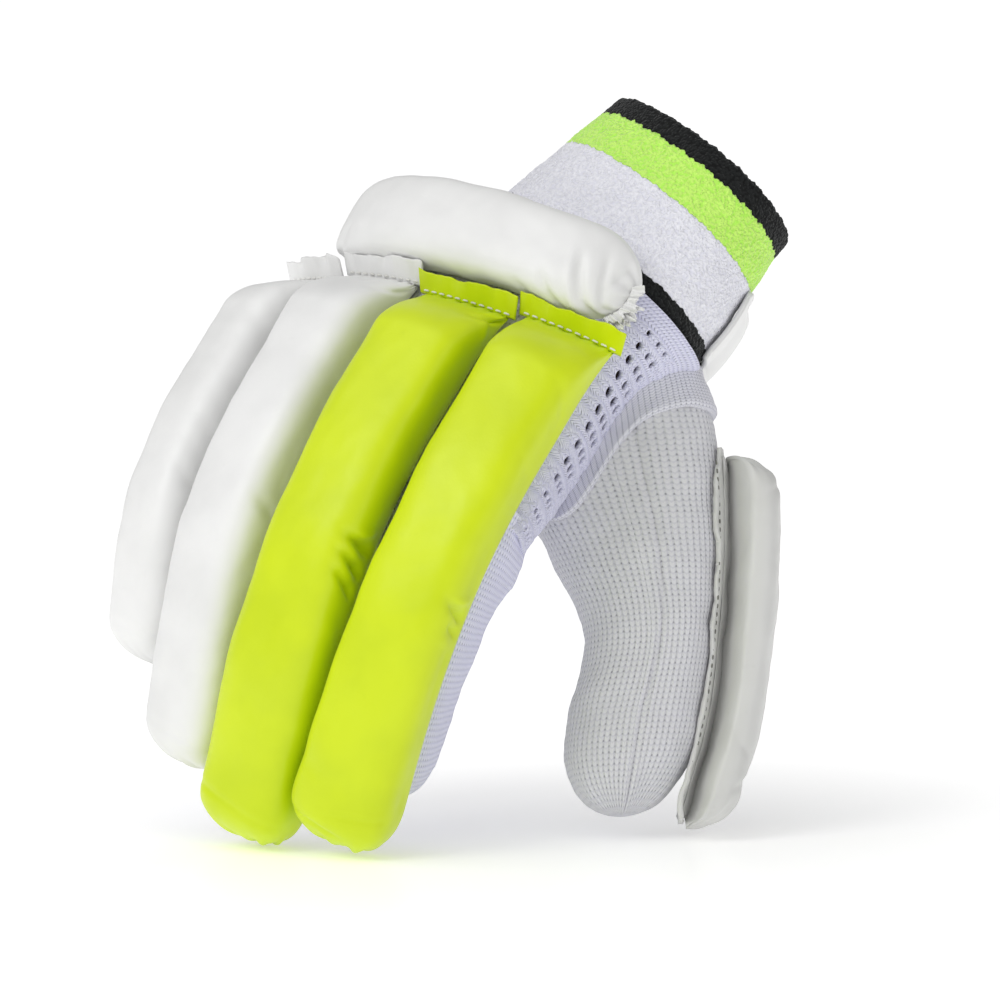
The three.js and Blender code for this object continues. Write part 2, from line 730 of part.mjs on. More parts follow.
const sideStart = moved(THUMB_SIDE_SEAM, seamAngle);
const side = solidOf(handPanel(sideStart, moved(BACK_SEAM, -seamAngle), meshWall, 8, 6));
const pierced = side.subtract(thumbHole).subtract(wasm.Manifold.union(eyelets()));
place("side_mesh", "mesh", geometryFrom(largest(pierced)));

const thumbShell = thumbBody(0, 0.0).subtract(thumbHollow).subtract(handVolume);
place("thumb_stall", "knit", geometryFrom(largest(thumbShell.trimByPlane(wristFacing, wristAway))));
place("thumb_flange", "white", thumbFlange());
place("thumb_pad", "white", thumbPad());
place("wrist_strap", "white", wristStrap());

let reached = 0;
for (const band of CUFF_BANDS) {
  place(band.name, band.finish, cuffBand(reached, reached + band.length - seamGap));
  reached += band.length;
}

// The hand is turned into its pose, and the middle of the cuff's mouth is brought to the origin.
const glove = new THREE.Group();
glove.add(hand);
hand.rotation.set(rad(poseDip), rad(poseRoll), rad(poseTurn), "ZXY");
const mouth = vec(0, 0, cuffLength - seamGap).applyMatrix4(cuffFrame);
hand.position.copy(mouth.applyEuler(hand.rotation).negate());

export default glove;
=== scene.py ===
# A cricket batting glove for the right hand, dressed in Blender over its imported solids.
# The pieces are laid out in millimetres on a flat-lying hand: x towards the little finger, y towards the
# fingertips and z out of its back. They are then turned into the photograph's pose and scaled to metres.
import math

import bpy
import numpy as np
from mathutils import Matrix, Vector
from mathutils.bvhtree import BVHTree


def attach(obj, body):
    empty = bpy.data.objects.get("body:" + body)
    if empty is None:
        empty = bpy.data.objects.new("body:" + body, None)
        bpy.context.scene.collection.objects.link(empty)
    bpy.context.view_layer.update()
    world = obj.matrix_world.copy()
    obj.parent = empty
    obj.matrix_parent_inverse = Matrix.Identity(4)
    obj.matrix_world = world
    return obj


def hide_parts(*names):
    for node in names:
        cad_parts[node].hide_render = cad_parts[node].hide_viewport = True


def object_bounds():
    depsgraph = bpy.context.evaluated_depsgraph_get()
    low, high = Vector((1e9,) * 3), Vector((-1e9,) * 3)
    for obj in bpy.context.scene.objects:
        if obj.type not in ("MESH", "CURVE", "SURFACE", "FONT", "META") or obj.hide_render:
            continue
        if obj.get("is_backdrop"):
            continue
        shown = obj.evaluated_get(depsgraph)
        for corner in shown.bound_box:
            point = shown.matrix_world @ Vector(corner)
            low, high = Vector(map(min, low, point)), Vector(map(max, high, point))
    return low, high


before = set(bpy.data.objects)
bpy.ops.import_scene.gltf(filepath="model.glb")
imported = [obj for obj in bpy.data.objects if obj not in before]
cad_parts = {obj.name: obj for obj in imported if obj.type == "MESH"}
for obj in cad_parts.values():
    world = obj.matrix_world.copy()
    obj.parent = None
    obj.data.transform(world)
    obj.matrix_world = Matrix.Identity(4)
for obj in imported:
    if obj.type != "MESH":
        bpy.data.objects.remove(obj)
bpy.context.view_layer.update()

# Sizes shared with the solids, in millimetres
KNIT_WALL = 1.8
MESH_WALL = 1.4
CUFF_WALL = 2.8
FLAP_WALL = 1.1
SEAM_GAP = 0.35
ROLL_GAP = 0.7
HAND_LENGTH = 99
STALL_DEPTH = 32
PALM_DEPTH = 56
WRIST_WIDTH = 81
WRIST_DEPTH = 56
WRIST_SHIFT = -10
WRIST_DROP = 3
STALL_START = -12
ARCH_RADIUS = 118
STALL_INSET = 1.6
STALL_TIP_DEPTH = 17
ROLL_DEPTH = 21
ROLL_UPPER = 70
ROLL_TIP_ROUND = 17
ROLL_TOP_TAPER = 22
ROLL_PRESS = 0.55  # how far a roll's sides push past the solid's, against its neighbours
KNUCKLE_REACH = 30
JOINT_REACH = 16
STALL_SHORT = 11
CROSS_LENGTH = 90
CROSS_WIDTH = 26.5
CROSS_DEPTH = 16
CROSS_SHIFT = 7
CROSS_BEND = 2.6
CROSS_ROUND = 16
CROSS_TAPER = 26
CROSS_SINK = 0.95
CROSS_SETBACK = 3.5
THUMB_LENGTH = 126
THUMB_DEPTH = 38
THUMB_WIDTH = 37
THUMB_PAD_DEPTH = 14.8
THUMB_PAD_WIDTH = 33
THUMB_PAD_START = 0.19
THUMB_PAD_ROUND = 13
THUMB_PAD_TIP_ROUND = 8
THUMB_PAD_NARROW = 2.6
THUMB_PAD_FOOT = 29  # degrees round the thumb's back at which the pad's cover is sewn down
THUMB_PAD_REACH = 4
THUMB_FLANGE_SHOWN = 33  # degrees to each side of the thumb's back
THUMB_FLANGE_RIM = 3
THUMB_ROOT = (-24, -80, -26)
THUMB_AIM = (-0.364, 0.818, -0.446)
THUMB_BACK = (-0.779, -0.528, -0.334)
CUFF_LEAN = 14
CUFF_DIP = 1.5
MOUTH_WIDTH = 66.5
MOUTH_DEPTH = 51
CUFF_BANDS = (("cuff_stripe", 4.5), ("cuff_white", 22), ("cuff_lime", 13), ("cuff_hem", 7.5))
STRAP_START = 2
STRAP_WIDTH = 24
STRAP_WALL = 1.6
STRAP_FROM = 196
STRAP_TO = 300
STRAP_BOW = 1.2
STRAP_SHOWN = 15  # how far the strap stands off the cuff at most
POSE_TURN, POSE_DIP, POSE_ROLL = 131.2, -50.4, -17
FINGERS = (
    dict(name="index", width=27.6, tip=1.08, corner=3, upper=1.0, lower=80, flex=31, curl=10, splay=0.2),
    dict(name="middle", width=28, tip=1.04, corner=3, upper=0.97, lower=88, flex=32, curl=10, splay=5.3),
    dict(name="ring", width=26.5, tip=0.9, corner=5, upper=1.0, lower=72, flex=31, curl=8, splay=8.2),
    dict(name="little", width=23, tip=1.0, corner=10, upper=0.97, lower=45, flex=29, curl=6, splay=6),
)
MIDDLE = 1
HAND_SECTIONS = (
    dict(at=0.0, width=0.0, shift=0.0, palm=0.0, arch=0.0, lean=1.0, power=2.2),
    dict(at=0.12, width=0.42, shift=0.35, palm=0.25, arch=0.35, lean=0.55, power=2.5),
    dict(at=0.3, width=0.8, shift=0.78, palm=0.85, arch=0.8, lean=0.1, power=3.0),
    dict(at=0.6, width=0.95, shift=0.95, palm=0.75, arch=1.0, lean=0.0, power=3.4),
    dict(at=1.0, width=1.0, shift=1.0, palm=0.0, arch=1.0, lean=0.0, power=3.6),
)
THUMB_SECTIONS = (
    dict(at=0.0, bow=-0.1, deep=1.45, wide=0.8),
    dict(at=0.2, bow=-0.08, deep=1.6, wide=0.86),
    dict(at=0.4, bow=0.06, deep=1.28, wide=0.96),
    dict(at=0.6, bow=0.13, deep=0.96, wide=1.0),
    dict(at=0.8, bow=-0.03, deep=1.03, wide=0.98),
    dict(at=1.0, bow=-0.16, deep=0.82, wide=0.9),
)
THUMB_SIDE_SEAM = (dict(at=0, angle=-62), dict(at=0.45, angle=-50), dict(at=1, angle=-40))
BACK_SEAM = (dict(at=0, angle=54), dict(at=1, angle=48))
LITTLE_SEAM = (dict(at=0, angle=200), dict(at=1, angle=205))
SEAM_ANGLE = 0.5
EYELET_ROWS = 13
EYELET_FIRST = 0.12
EYELET_RUN = 0.84
EYELET_ANGLE = 8
EYELET_PITCH = 10
EYELET_DRIFT = -8
EYELET_WIDTH = 3.0
EYELET_LENGTH = 3.4

# Sizes of what only this script draws
FLAP_FOOT = 2.3  # height at which a flap leaves its roll
FLAP_OVER = 1.9  # how far its foot lies on the roll
FLAP_TALL = 5.4
FLAP_REACH = 4.2
STITCH_PITCH = 2.35
STITCH_LENGTH = 1.55
PAD_STITCH_PITCH = 2.4
CUT_DEPTH = 1.0  # how far inside its neighbour a cloth piece is cut off
EYELET_COLUMNS = 3
CELL_COLUMNS = 5  # a column of dimples runs along each side of the eyelets
CELL_STEPS = 5  # grid steps from a cell's middle to its edge
CELL_RING = 0.6  # share of a cell at which its grid rings the eyelet
DIMPLE = 0.35  # size of a dimple beside an eyelet's
LEAD_ROWS, LEAD_COLUMNS = 25, 21  # grid steps before the first cell
PAD_GATHERS = ((48, 14, 12.5), (44, 0, 13.2), (40, -22, 12.2))  # first and last degrees, and radius
THUMB_SEAM_ANGLE = math.radians(10)
FOLD_NARROW = 2.5
FOLD_WIDE = 13
CUFF_PULL = 4.5  # how far the cuff's lower edge is pulled down under the knuckle pad
CUFF_PULL_ANGLE = 82
LOOP_STEP = 0.55  # grid step of the cuff's towelling

# Creases of the rolls: place along the roll, angle (180 faces the thumb's side, 90 out of the back), slant,
# width, reach round the roll and depth; a negative depth is a ridge
ROLL_CREASES = {
    "index": ((12, 168, 3, 1.2, 0.5, 2.3), (9, 172, -2, 0.8, 0.4, -0.8), (16, 175, 2, 1.0, 0.35, 1.6),
              (19, 165, 3, 0.8, 0.4, -0.4), (-44, 150, 10, 2.4, 0.5, 0.25), (58, 80, 3, 3.0, 1.0, 0.25),
              (66, 120, -3, 1.0, 0.5, 0.5), (72, 70, 2, 0.9, 0.6, 0.6)),
    "middle": ((6, 172, 2, 1.2, 0.6, 2.6), (3, 170, -3, 0.8, 0.4, -0.9), (10.5, 168, 4, 1.1, 0.55, 2.2),
               (15, 165, 5, 1.1, 0.45, 1.6), (8, 150, 4, 0.9, 0.3, -0.5), (-62, 158, -5, 1.3, 0.5, 1.9),
               (-58, 160, 6, 1.6, 0.5, -0.6), (75, 90, 3, 1.2, 1.0, 0.4)),
    "ring": ((4, 175, 3, 1.6, 0.6, 0.9), (-61, 150, -5, 1.6, 0.5, 0.8), (60, 100, 2, 1.6, 0.9, 0.4)),
    "little": ((2, 175, 3, 1.8, 0.6, 0.6), (-56, 60, -5, 2.0, 0.7, 0.7), (34, 110, 2, 1.4, 0.9, 0.35)),
}
# The same for the knuckle pad: place across, angle (0 faces the fingers, 90 out of the back) and so on
CROSS_CREASES = ((-36, 40, 5, 1.3, 0.9, 1.6), (-32.5, 50, 4, 1.0, 0.8, -0.6), (-39.5, 60, 3, 1.0, 0.9, 1.3),
                 (-29, 20, 6, 1.6, 0.6, 0.9), (-22, 5, 5, 2.0, 0.5, 0.6), (-41.5, 100, -2, 0.9, 0.7, 0.8),
                 (36, 30, -4, 1.8, 0.7, 0.6), (40, 60, -3, 1.4, 0.8, 0.5), (6, 0, 4, 5.0, 0.5, 0.4))
# The same for the thumb pad: place along the thumb, angle (90 faces out of its back) and so on
THUMB_PAD_CREASES = ((32, 90, 4, 1.6, 0.9, 0.7), (36, 60, -5, 1.4, 0.7, 0.5), (118, 90, -4, 1.5, 1.0, 0.9),
                     (122, 120, 5, 1.2, 0.8, 0.7), (112, 50, 6, 1.5, 0.6, 0.5))

# Camera, light and floor, in metres, degrees and watts
CAMERA_LENS = 321
CAMERA_AWAY = 2.5
CAMERA_RISE = 6
CAMERA_AIM = (-0.05805, -0.0509, -0.0893)
GLOVE_MIDDLE = (-0.058, -0.05, -0.09)
WORLD_LIGHT = 0.41
SUN_POWER, SUN_SIZE = 0.85, 70
KEY_POWER, KEY_SIZE, KEY_PLACE = 9.5, 1.0, (-1.3, -1.4, 1.2)
FILL_POWER, FILL_SIZE, FILL_PLACE = 3, 1.4, (1.7, -1.5, 0.5)
FLOOR_DROP = 0.0004
# the floor's glow is weaker near the glove, a painted shadow round it
FLOOR_GLOW = (0.32, 0.5)  # near the glove and far from it
FLOOR_GLOW_REACH = (0.07, 0.24)


def lerp(a, b, t):
    return a + (b - a) * t


def bell(at, middle, width):
    """Smooth bump: 1 at its middle, 0 away from it."""
    return np.exp(-((at - middle) / width) ** 2)


def full_turn(count):
    return np.linspace(0, 2 * math.pi, count, endpoint=False)


def table_at(rows, place, column):
    """Value of a table's column at a place between its rows, eased between them."""
    at = np.clip(np.asarray(place, float), rows[0]["at"], rows[-1]["at"])
    ats = np.array([r["at"] for r in rows], float)
    vals = np.array([r[column] for r in rows], float)
    i = np.clip(np.searchsorted(ats, at, side="right") - 1, 0, len(rows) - 2)
    before = np.maximum(np.arange(len(rows)) - 1, 0)
    after = np.minimum(np.arange(len(rows)) + 1, len(rows) - 1)
    slopes = (vals[after] - vals[before]) / (ats[after] - ats[before])
    span = ats[i + 1] - ats[i]
    t = (at - ats[i]) / span
    t2, t3 = t * t, t * t * t
    return (vals[i] * (2 * t3 - 3 * t2 + 1) + slopes[i] * span * (t3 - 2 * t2 + t)
            + vals[i + 1] * (3 * t2 - 2 * t3) + slopes[i + 1] * span * (t3 - t2))


def round_box(angle, half_x, half_y, power):
    """Point of a superellipse outline."""
    c, s = np.cos(angle), np.sin(angle)
    r = (np.abs(c) ** power + np.abs(s) ** power) ** (-1 / power)
    return half_x * c * r, half_y * s * r


def end_round(distance, radius, power):
    """Share of full size at a distance from a rounded end."""
    missing = np.clip(1 - np.asarray(distance, float) / radius, 0, 1)
    return (1 - missing ** power) ** (1 / power)


def vec(*v):
    return np.array(v, float)


def unit(v):
    v = np.asarray(v, float)
    return v / np.linalg.norm(v, axis=-1, keepdims=True)


def turn(axis, degrees):
    """Rotation matrix about one axis."""
    c, s = math.cos(math.radians(degrees)), math.sin(math.radians(degrees))
    return {"x": np.array([[1, 0, 0], [0, c, -s], [0, s, c]]),
            "y": np.array([[c, 0, s], [0, 1, 0], [-s, 0, c]]),
            "z": np.array([[c, -s, 0], [s, c, 0], [0, 0, 1]])}[axis]


# Offsets of the fingers from the middle one, along the arch of the knuckles
for i, finger in enumerate(FINGERS):
    lo, hi = min(i, MIDDLE), max(i, MIDDLE)
    apart = sum((FINGERS[k]["width"] + FINGERS[k + 1]["width"]) / 2 + ROLL_GAP for k in range(lo, hi))
    finger["offset"] = -apart if i < MIDDLE else apart
ROW_START = FINGERS[0]["offset"] - FINGERS[0]["width"] / 2
ROW_END = FINGERS[-1]["offset"] + FINGERS[-1]["width"] / 2
ROW_WIDTH = ROW_END - ROW_START
ROW_MIDDLE = (ROW_START + ROW_END) / 2
BACK = STALL_DEPTH / 2

# The pose, and the cuff's frame at the wrist seam
POSE = turn("z", POSE_TURN) @ turn("x", POSE_DIP) @ turn("y", POSE_ROLL)
CUFF_TURN = turn("z", -CUFF_LEAN) @ turn("x", 90 + CUFF_DIP)
CUFF_AT = vec(WRIST_SHIFT, -HAND_LENGTH - SEAM_GAP, BACK - WRIST_DROP - WRIST_DEPTH / 2)
CUFF_LENGTH = sum(length for _, length in CUFF_BANDS)
MOUTH = CUFF_TURN @ vec(0, 0, CUFF_LENGTH - SEAM_GAP) + CUFF_AT


def to_row(points):
    """Hand millimetres to the row frame's metres."""
    return (np.asarray(points, float).reshape(-1, 3) - MOUTH) @ POSE.T / 1000


def on_arch(across, up, curve=1.0):
    """Points over the arch of the knuckles, as far round it as across says and up from its line."""
    radius = ARCH_RADIUS / np.maximum(curve, 0.02)
    angle = across / radius
    x = (radius + up) * np.sin(angle)
    z = (radius + up) * np.cos(angle) - radius
    return np.stack(np.broadcast_arrays(x, 0.0 * x, z), -1)


def finger_frame(finger, distance):
    """Middle, side, along and back directions of a finger at a distance from its knuckle."""
    tilt = finger["offset"] / ARCH_RADIUS
    lateral = vec(math.cos(tilt), 0, -math.sin(tilt))
    dorsal = vec(math.sin(tilt), 0, math.cos(tilt))

    def direction(bend, splay):
        b, s = math.radians(bend), math.radians(splay)
        return (vec(0, math.cos(b), 0) - dorsal * math.sin(b)) * math.cos(s) + lateral * math.sin(s)

    aims = [direction(0, 0), direction(finger["flex"], finger["splay"]),
            direction(finger["flex"] + finger["curl"], finger["splay"])]
    lower = finger["lower"]
    at = [0, lower / 2]
    reach = [min(KNUCKLE_REACH, lower / 3)]
    reach.append(min(JOINT_REACH, at[1] - reach[0], lower - at[1]))
    point = [on_arch(np.float64(finger["offset"]), np.float64(0))]
    point.append(point[0] + aims[1] * at[1])
    k = 0 if distance < reach[0] else 1
    past, r = distance - at[k], reach[k]
    before, after = aims[k], aims[k + 1]
    if past <= -r:
        centre, along = point[k] + before * past, before
    elif past >= r:
        centre, along = point[k] + after * past, after
    else:
        centre = point[k] - before * (r - past) ** 2 / (4 * r) + after * (r + past) ** 2 / (4 * r)
        along = unit(before * (r - past) + after * (r + past))
    side = unit(lateral - along * (lateral @ along))
    return centre, side, along, np.cross(side, along)


def wave_noise(p, size, seed, octaves=2):
    """Smooth noise from -1 to 1 over points, with bumps of about the given size."""
    rng = np.random.RandomState(seed)
    p = np.asarray(p, float)
    total, weight, out = 0.0, 1.0, 0.0
    for _ in range(octaves):
        for _ in range(7):
            k = unit(rng.normal(size=3)) * (2 * math.pi / size) * rng.uniform(0.6, 1.3)
            out = out + weight * np.sin(p @ k + rng.uniform(0, 6.28))
        total += weight * 7 * 0.42
        weight *= 0.5
        size *= 0.47
    return out / total


def grid_normals(p, wrap):
    """Unit normals of a grid of points; wrap joins its last column to its first."""
    if wrap:
        du = np.roll(p, -1, 1) - np.roll(p, 1, 1)
    else:
        du = np.gradient(p, axis=1)
    dv = np.gradient(p, axis=0)
    n = np.cross(du, dv)
    return n / np.maximum(np.linalg.norm(n, axis=-1, keepdims=True), 1e-9)


def outward_normals(p, wrap, inside):
    """Grid normals that point away from a middle line, one point for each row."""
    n = grid_normals(p, wrap)
    return n * np.sign(((p - inside[:, None]) * n).sum((0, 1, 2)))


def add_object(name, data):
    obj = bpy.data.objects.new(name, data)
    bpy.context.scene.collection.objects.link(obj)
    return obj


def make(name, verts, faces, uvs, material, nodes=()):
    """Mesh object in the row frame from hand millimetres; uvs holds one pair for each corner."""
    verts = to_row(verts)
    faces = [tuple(f) for f in faces]
    volume = 0.0
    for size in {len(f) for f in faces}:
        f = np.array([g for g in faces if len(g) == size])
        for k in range(1, size - 1):
            a, b, c = verts[f[:, 0]], verts[f[:, k]], verts[f[:, k + 1]]
            volume += np.einsum("ij,ij->i", a, np.cross(b, c)).sum()
    mesh = bpy.data.meshes.new(name)
    mesh.from_pydata(verts.tolist(), [], faces)
    if uvs is not None:
        layer = mesh.uv_layers.new(name="UVMap")
        layer.data.foreach_set("uv", np.asarray(uvs, float).ravel())
    if volume < 0:
        mesh.flip_normals()
    mesh.polygons.foreach_set("use_smooth", np.full(len(faces), True))
    mesh.materials.append(material)
    mesh.update()
    obj = add_object(name, mesh)
    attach(obj, "root")
    if nodes:
        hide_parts(*nodes)
    return obj


def grid_faces(rows, cols, wrap):
    """Quads of a grid and the (row, column) of their corners; wrapped, the last column runs past the end."""
    i, j = np.meshgrid(np.arange(rows - 1), np.arange(cols if wrap else cols - 1), indexing="ij")
    i, j = i.ravel(), j.ravel()
    corner = np.stack([np.stack([i, j], -1), np.stack([i, j + 1], -1),
                       np.stack([i + 1, j + 1], -1), np.stack([i + 1, j], -1)], 1)
    return corner[..., 0] * cols + corner[..., 1] % cols, corner


def end_fans(rows, cols):
    """Triangles that close a tube's ends round two added middle points, each with its row and column."""
    for centre, row, turned in ((rows * cols, 0, True), (rows * cols + 1, rows - 1, False)):
        for j in range(cols):
            a, b = row * cols + j, row * cols + (j + 1) % cols
            yield ((b, a, centre) if turned else (a, b, centre)), row, j


def uv_of(corner, u, v):
    """Corner uvs from the rows' u and the columns' v (v has one value more where the grid wraps)."""
    u, v = np.asarray(u, float), np.asarray(v, float)
    if v.ndim == 1:
        return np.stack([v[corner[..., 1]], u[corner[..., 0]]], -1).reshape(-1, 2)
    return np.stack([v[corner[..., 0], corner[..., 1]], u[corner[..., 0]]], -1).reshape(-1, 2)


def tube(name, rings, u, v, material, nodes=()):
    """Closed skin over rings with a fan over each end."""
    rows, cols = rings.shape[:2]
    index, corner = grid_faces(rows, cols, True)
    verts = np.vstack([rings.reshape(-1, 3), rings[0].mean(0), rings[-1].mean(0)])
    faces = index.tolist()
    uvs = [uv_of(corner, u, v)]
    for face, row, j in end_fans(rows, cols):
        faces.append(face)
        uvs.append(np.array([[v[j], u[row]]] * 3))
    return make(name, verts, faces, np.vstack(uvs), material, nodes)


def shell(name, outer, inner, u, v, material, nodes=(), wrap=False, keep=None, tip=False):
    """Closed cloth between two grids; keep marks the faces that stay, and tip closes the last row."""
    rows, cols = outer.shape[:2]
    far = rows * cols
    index, corner = grid_faces(rows, cols, wrap)
    if keep is not None:
        index, corner = index[keep], corner[keep]
    pairs = uv_of(corner, u, v).reshape(-1, 4, 2)
    verts = np.vstack([outer.reshape(-1, 3), inner.reshape(-1, 3), outer[-1].mean(0), inner[-1].mean(0)])
    starts, ends = index, np.roll(index, -1, 1)
    edge = starts * far + ends
    open_edge = ~np.isin(edge, ends * far + starts)
    faces = index.tolist() + (far + index[:, ::-1]).tolist()
    uvs = [pairs.reshape(-1, 2), pairs[:, ::-1].reshape(-1, 2)]
    for f, k in zip(*np.nonzero(open_edge)):
        a, b = starts[f, k], ends[f, k]
        uv_a, uv_b = pairs[f, k], pairs[f, (k + 1) % 4]
        if tip and a >= far - cols and b >= far - cols:
            faces += [(b, a, 2 * far), (far + a, far + b, 2 * far + 1)]
            uvs += [[uv_b, uv_a, uv_a], [uv_a, uv_b, uv_b]]
        else:
            faces.append((b, a, far + a, far + b))
            uvs.append([uv_b, uv_a, uv_a, uv_b])
    used, place = np.unique(np.concatenate([np.asarray(f) for f in faces]), return_inverse=True)
    place = iter(place.tolist())
    faces = [[next(place) for _ in f] for f in faces]
    return make(name, verts[used], faces, np.vstack(uvs), material, nodes)


def threads(name, paths, radius, material, sides=6):
    """Short thread tubes with rounded ends along a list of paths (each n x 3, in hand millimetres)."""
    verts, faces, first = [], [], 0
    ring = full_turn(sides)
    for path in paths:
        path = np.asarray(path, float)
        along = unit(np.gradient(path, axis=0))
        n = len(path)
        helper = unit(np.cross(along[0], (0.31, 0.52, 0.79)))
        size = radius * np.clip(np.minimum(np.arange(n), np.arange(n)[::-1]) * 0.6 + 0.45, 0, 1)
        for i in range(n):
            side = unit(helper - along[i] * (helper @ along[i]))
            up = np.cross(along[i], side)
            verts.append(path[i] + size[i] * (np.outer(np.cos(ring), side) + np.outer(np.sin(ring), up)))
            helper = side
        for i in range(n - 1):
            for j in range(sides):
                a, b = first + i * sides + j, first + i * sides + (j + 1) % sides
                faces.append((a, b, b + sides, a + sides))
        faces.append(tuple(first + j for j in range(sides))[::-1])
        faces.append(tuple(first + (n - 1) * sides + j for j in range(sides)))
        first += n * sides
    return make(name, np.vstack(verts), faces, None, material)


def spread(start, end, start_round, end_radius, steps, middle):
    """Places along a piece, closer together where its ends are round."""
    k = (np.arange(steps) + 0.12) / steps * math.pi / 2
    first = start + start_round * (1 - np.cos(k))
    last = end - end_radius * (1 - np.cos(k))[::-1]
    return np.concatenate([first, np.linspace(start + start_round, end - end_radius, middle), last])


# Materials


class Nodes:
    """Short way to lay out a material's nodes."""

    def __init__(self, name):
        self.material = bpy.data.materials.new(name)
        self.material.use_nodes = True
        self.tree = self.material.node_tree
        self.shader = self.tree.nodes["Principled BSDF"]

    def add(self, kind, inputs=(), **settings):
        node = self.tree.nodes.new("ShaderNode" + kind)
        for key, value in settings.items():
            setattr(node, key, value)
        for key, value in dict(inputs).items():
            self.link(value, node.inputs[key])
        return node

    def link(self, value, socket):
        if isinstance(value, bpy.types.NodeSocket):
            self.tree.links.new(value, socket)
        else:
            socket.default_value = value

    def math(self, operation, a, b=0.0, c=0.0):
        return self.add("Math", {0: a, 1: b, 2: c}, operation=operation).outputs[0]

    def ramp(self, value, low, high, to_low=0.0, to_high=1.0, kind="SMOOTHSTEP"):
        return self.add("MapRange", {0: value, 1: low, 2: high, 3: to_low, 4: to_high},
                        interpolation_type=kind).outputs[0]

    def noise(self, vector, scale, detail=2.0, rough=0.5):
        return self.add("TexNoise", {"Vector": vector, "Scale": scale, "Detail": detail,
                                     "Roughness": rough}).outputs["Fac"]

    def mix(self, share, a, b):
        node = self.add("Mix", {0: share}, data_type="RGBA")
        self.link(a, node.inputs[6])
        self.link(b, node.inputs[7])
        return node.outputs[2]

    def bump(self, height, strength, distance, normal=None):
        node = self.add("Bump", {"Strength": strength, "Distance": distance, "Height": height})
        if normal is not None:
            self.link(normal, node.inputs["Normal"])
        return node.outputs[0]

    def finish(self, color, roughness, normal, **fixed):
        self.link(color, self.shader.inputs["Base Color"])
        self.link(roughness, self.shader.inputs["Roughness"])
        self.link(normal, self.shader.inputs["Normal"])
        for key, value in fixed.items():
            self.shader.inputs[key.replace("_", " ")].default_value = value
        return self.material


def linear(r, g, b):
    """sRGB 0 to 255 to linear, with alpha."""
    def one(c):
        return ((c / 255 + 0.055) / 1.055) ** 2.4 if c > 10 else c / 255 / 12.92
    return (one(r), one(g), one(b), 1.0)


def vinyl(name, base, shade):
    """Soft coated vinyl over foam: fine pebble grain, faint stretch wrinkles and slightly uneven sheen."""
    n = Nodes(name)
    where = n.add("TexCoord").outputs["Object"]
    cloud = n.noise(where, 38, 3)
    colour = n.mix(n.ramp(cloud, 0.35, 0.75), base, shade)
    scuff = n.noise(where, 240, 4, 0.6)
    colour = n.mix(n.ramp(scuff, 0.62, 0.8, 0, 0.35), colour, shade)
    grain = n.add("TexVoronoi", {"Vector": where, "Scale": 1500}, feature="SMOOTH_F1").outputs["Distance"]
    fine = n.noise(where, 2600, 2)
    soft = n.noise(where, 150, 3, 0.55)
    low = n.bump(soft, 0.22, 0.0006)
    mid = n.bump(grain, 0.10, 0.00012, low)
    top = n.bump(fine, 0.08, 0.00008, mid)
    rough = n.ramp(n.noise(where, 90, 3), 0.3, 0.7, 0.36, 0.47, "LINEAR")
    return n.finish(colour, rough, top, Specular_IOR_Level=0.42, Sheen_Weight=0.06, Sheen_Roughness=0.4,
                    Coat_Weight=0.06, Coat_Roughness=0.35)


def plain(name, base, rough):
    """Rough cloth with no pattern."""
    n = Nodes(name)
    where = n.add("TexCoord").outputs["Object"]
    colour = n.mix(n.noise(where, 300, 2), base, tuple(c * 0.7 for c in base[:3]) + (1,))
    return n.finish(colour, rough, n.bump(n.noise(where, 1500, 2), 0.3, 0.0002))


# painted shade seen through the knit's pinholes
PINHOLE_SHADE = linear(120, 120, 128)


def knit(name, base, shade, wale, course, depth, sheen=0.25):
    """Ribbed knit: columns of V stitches, from uvs in millimetres (u across the columns, v along them); the
    gaps between the stitches and the pinholes between the columns are coloured darker as painted shade.
    """
    n = Nodes(name)
    uv = n.add("SeparateXYZ", {0: n.add("TexCoord").outputs["UV"]})
    where = n.add("TexCoord").outputs["Object"]
    wander = n.math("MULTIPLY", n.math("SUBTRACT", n.noise(where, 160, 2), 0.5), 0.35)
    across = n.math("ADD", n.math("DIVIDE", uv.outputs[0], wale), wander)
    column = n.math("SUBTRACT", n.math("FRACT", across), 0.5)
    side = n.math("ABSOLUTE", column)
    slant = n.math("MULTIPLY", side, 0.8)
    along = n.math("ADD", n.math("ADD", n.math("DIVIDE", uv.outputs[1], course), slant), wander)
    loop = n.math("SINE", n.math("MULTIPLY", along, 2 * math.pi))
    loop = n.ramp(loop, -1.0, 0.8)
    leg = n.ramp(side, 0.5, 0.24)
    middle = n.ramp(side, 0.0, 0.12, 0.45, 1.0)
    stitch = n.math("MULTIPLY", n.math("MULTIPLY", loop, leg), middle)
    fuzz = n.noise(where, 2400, 3, 0.7)
    strands = n.noise(where, 900, 2)
    low = n.bump(leg, 0.5, depth)
    mid = n.bump(stitch, 0.25, depth * 0.5, low)
    top = n.bump(n.math("ADD", fuzz, strands), 0.45, 0.00014, mid)
    # painted shade: the colour darkens towards the gaps between the stitches
    colour = n.mix(n.ramp(stitch, 0.0, 0.35), shade, base)
    # painted shade: the pinholes between the columns are coloured dark grey
    pinhole_shade = n.math("MULTIPLY", n.ramp(side, 0.3, 0.48), n.ramp(loop, 0.35, 0.1))
    colour = n.mix(n.math("MULTIPLY", pinhole_shade, n.ramp(strands, 0.35, 0.6, 0.15, 0.75)), colour, PINHOLE_SHADE)
    patch = n.noise(where, 45, 2)
    colour = n.mix(n.ramp(patch, 0.4, 0.8, 0, 0.25), colour, shade)
    rough = n.ramp(fuzz, 0.3, 0.7, 0.82, 0.98, "LINEAR")
    return n.finish(colour, rough, top, Sheen_Weight=sheen, Sheen_Roughness=0.6, Specular_IOR_Level=0.2)


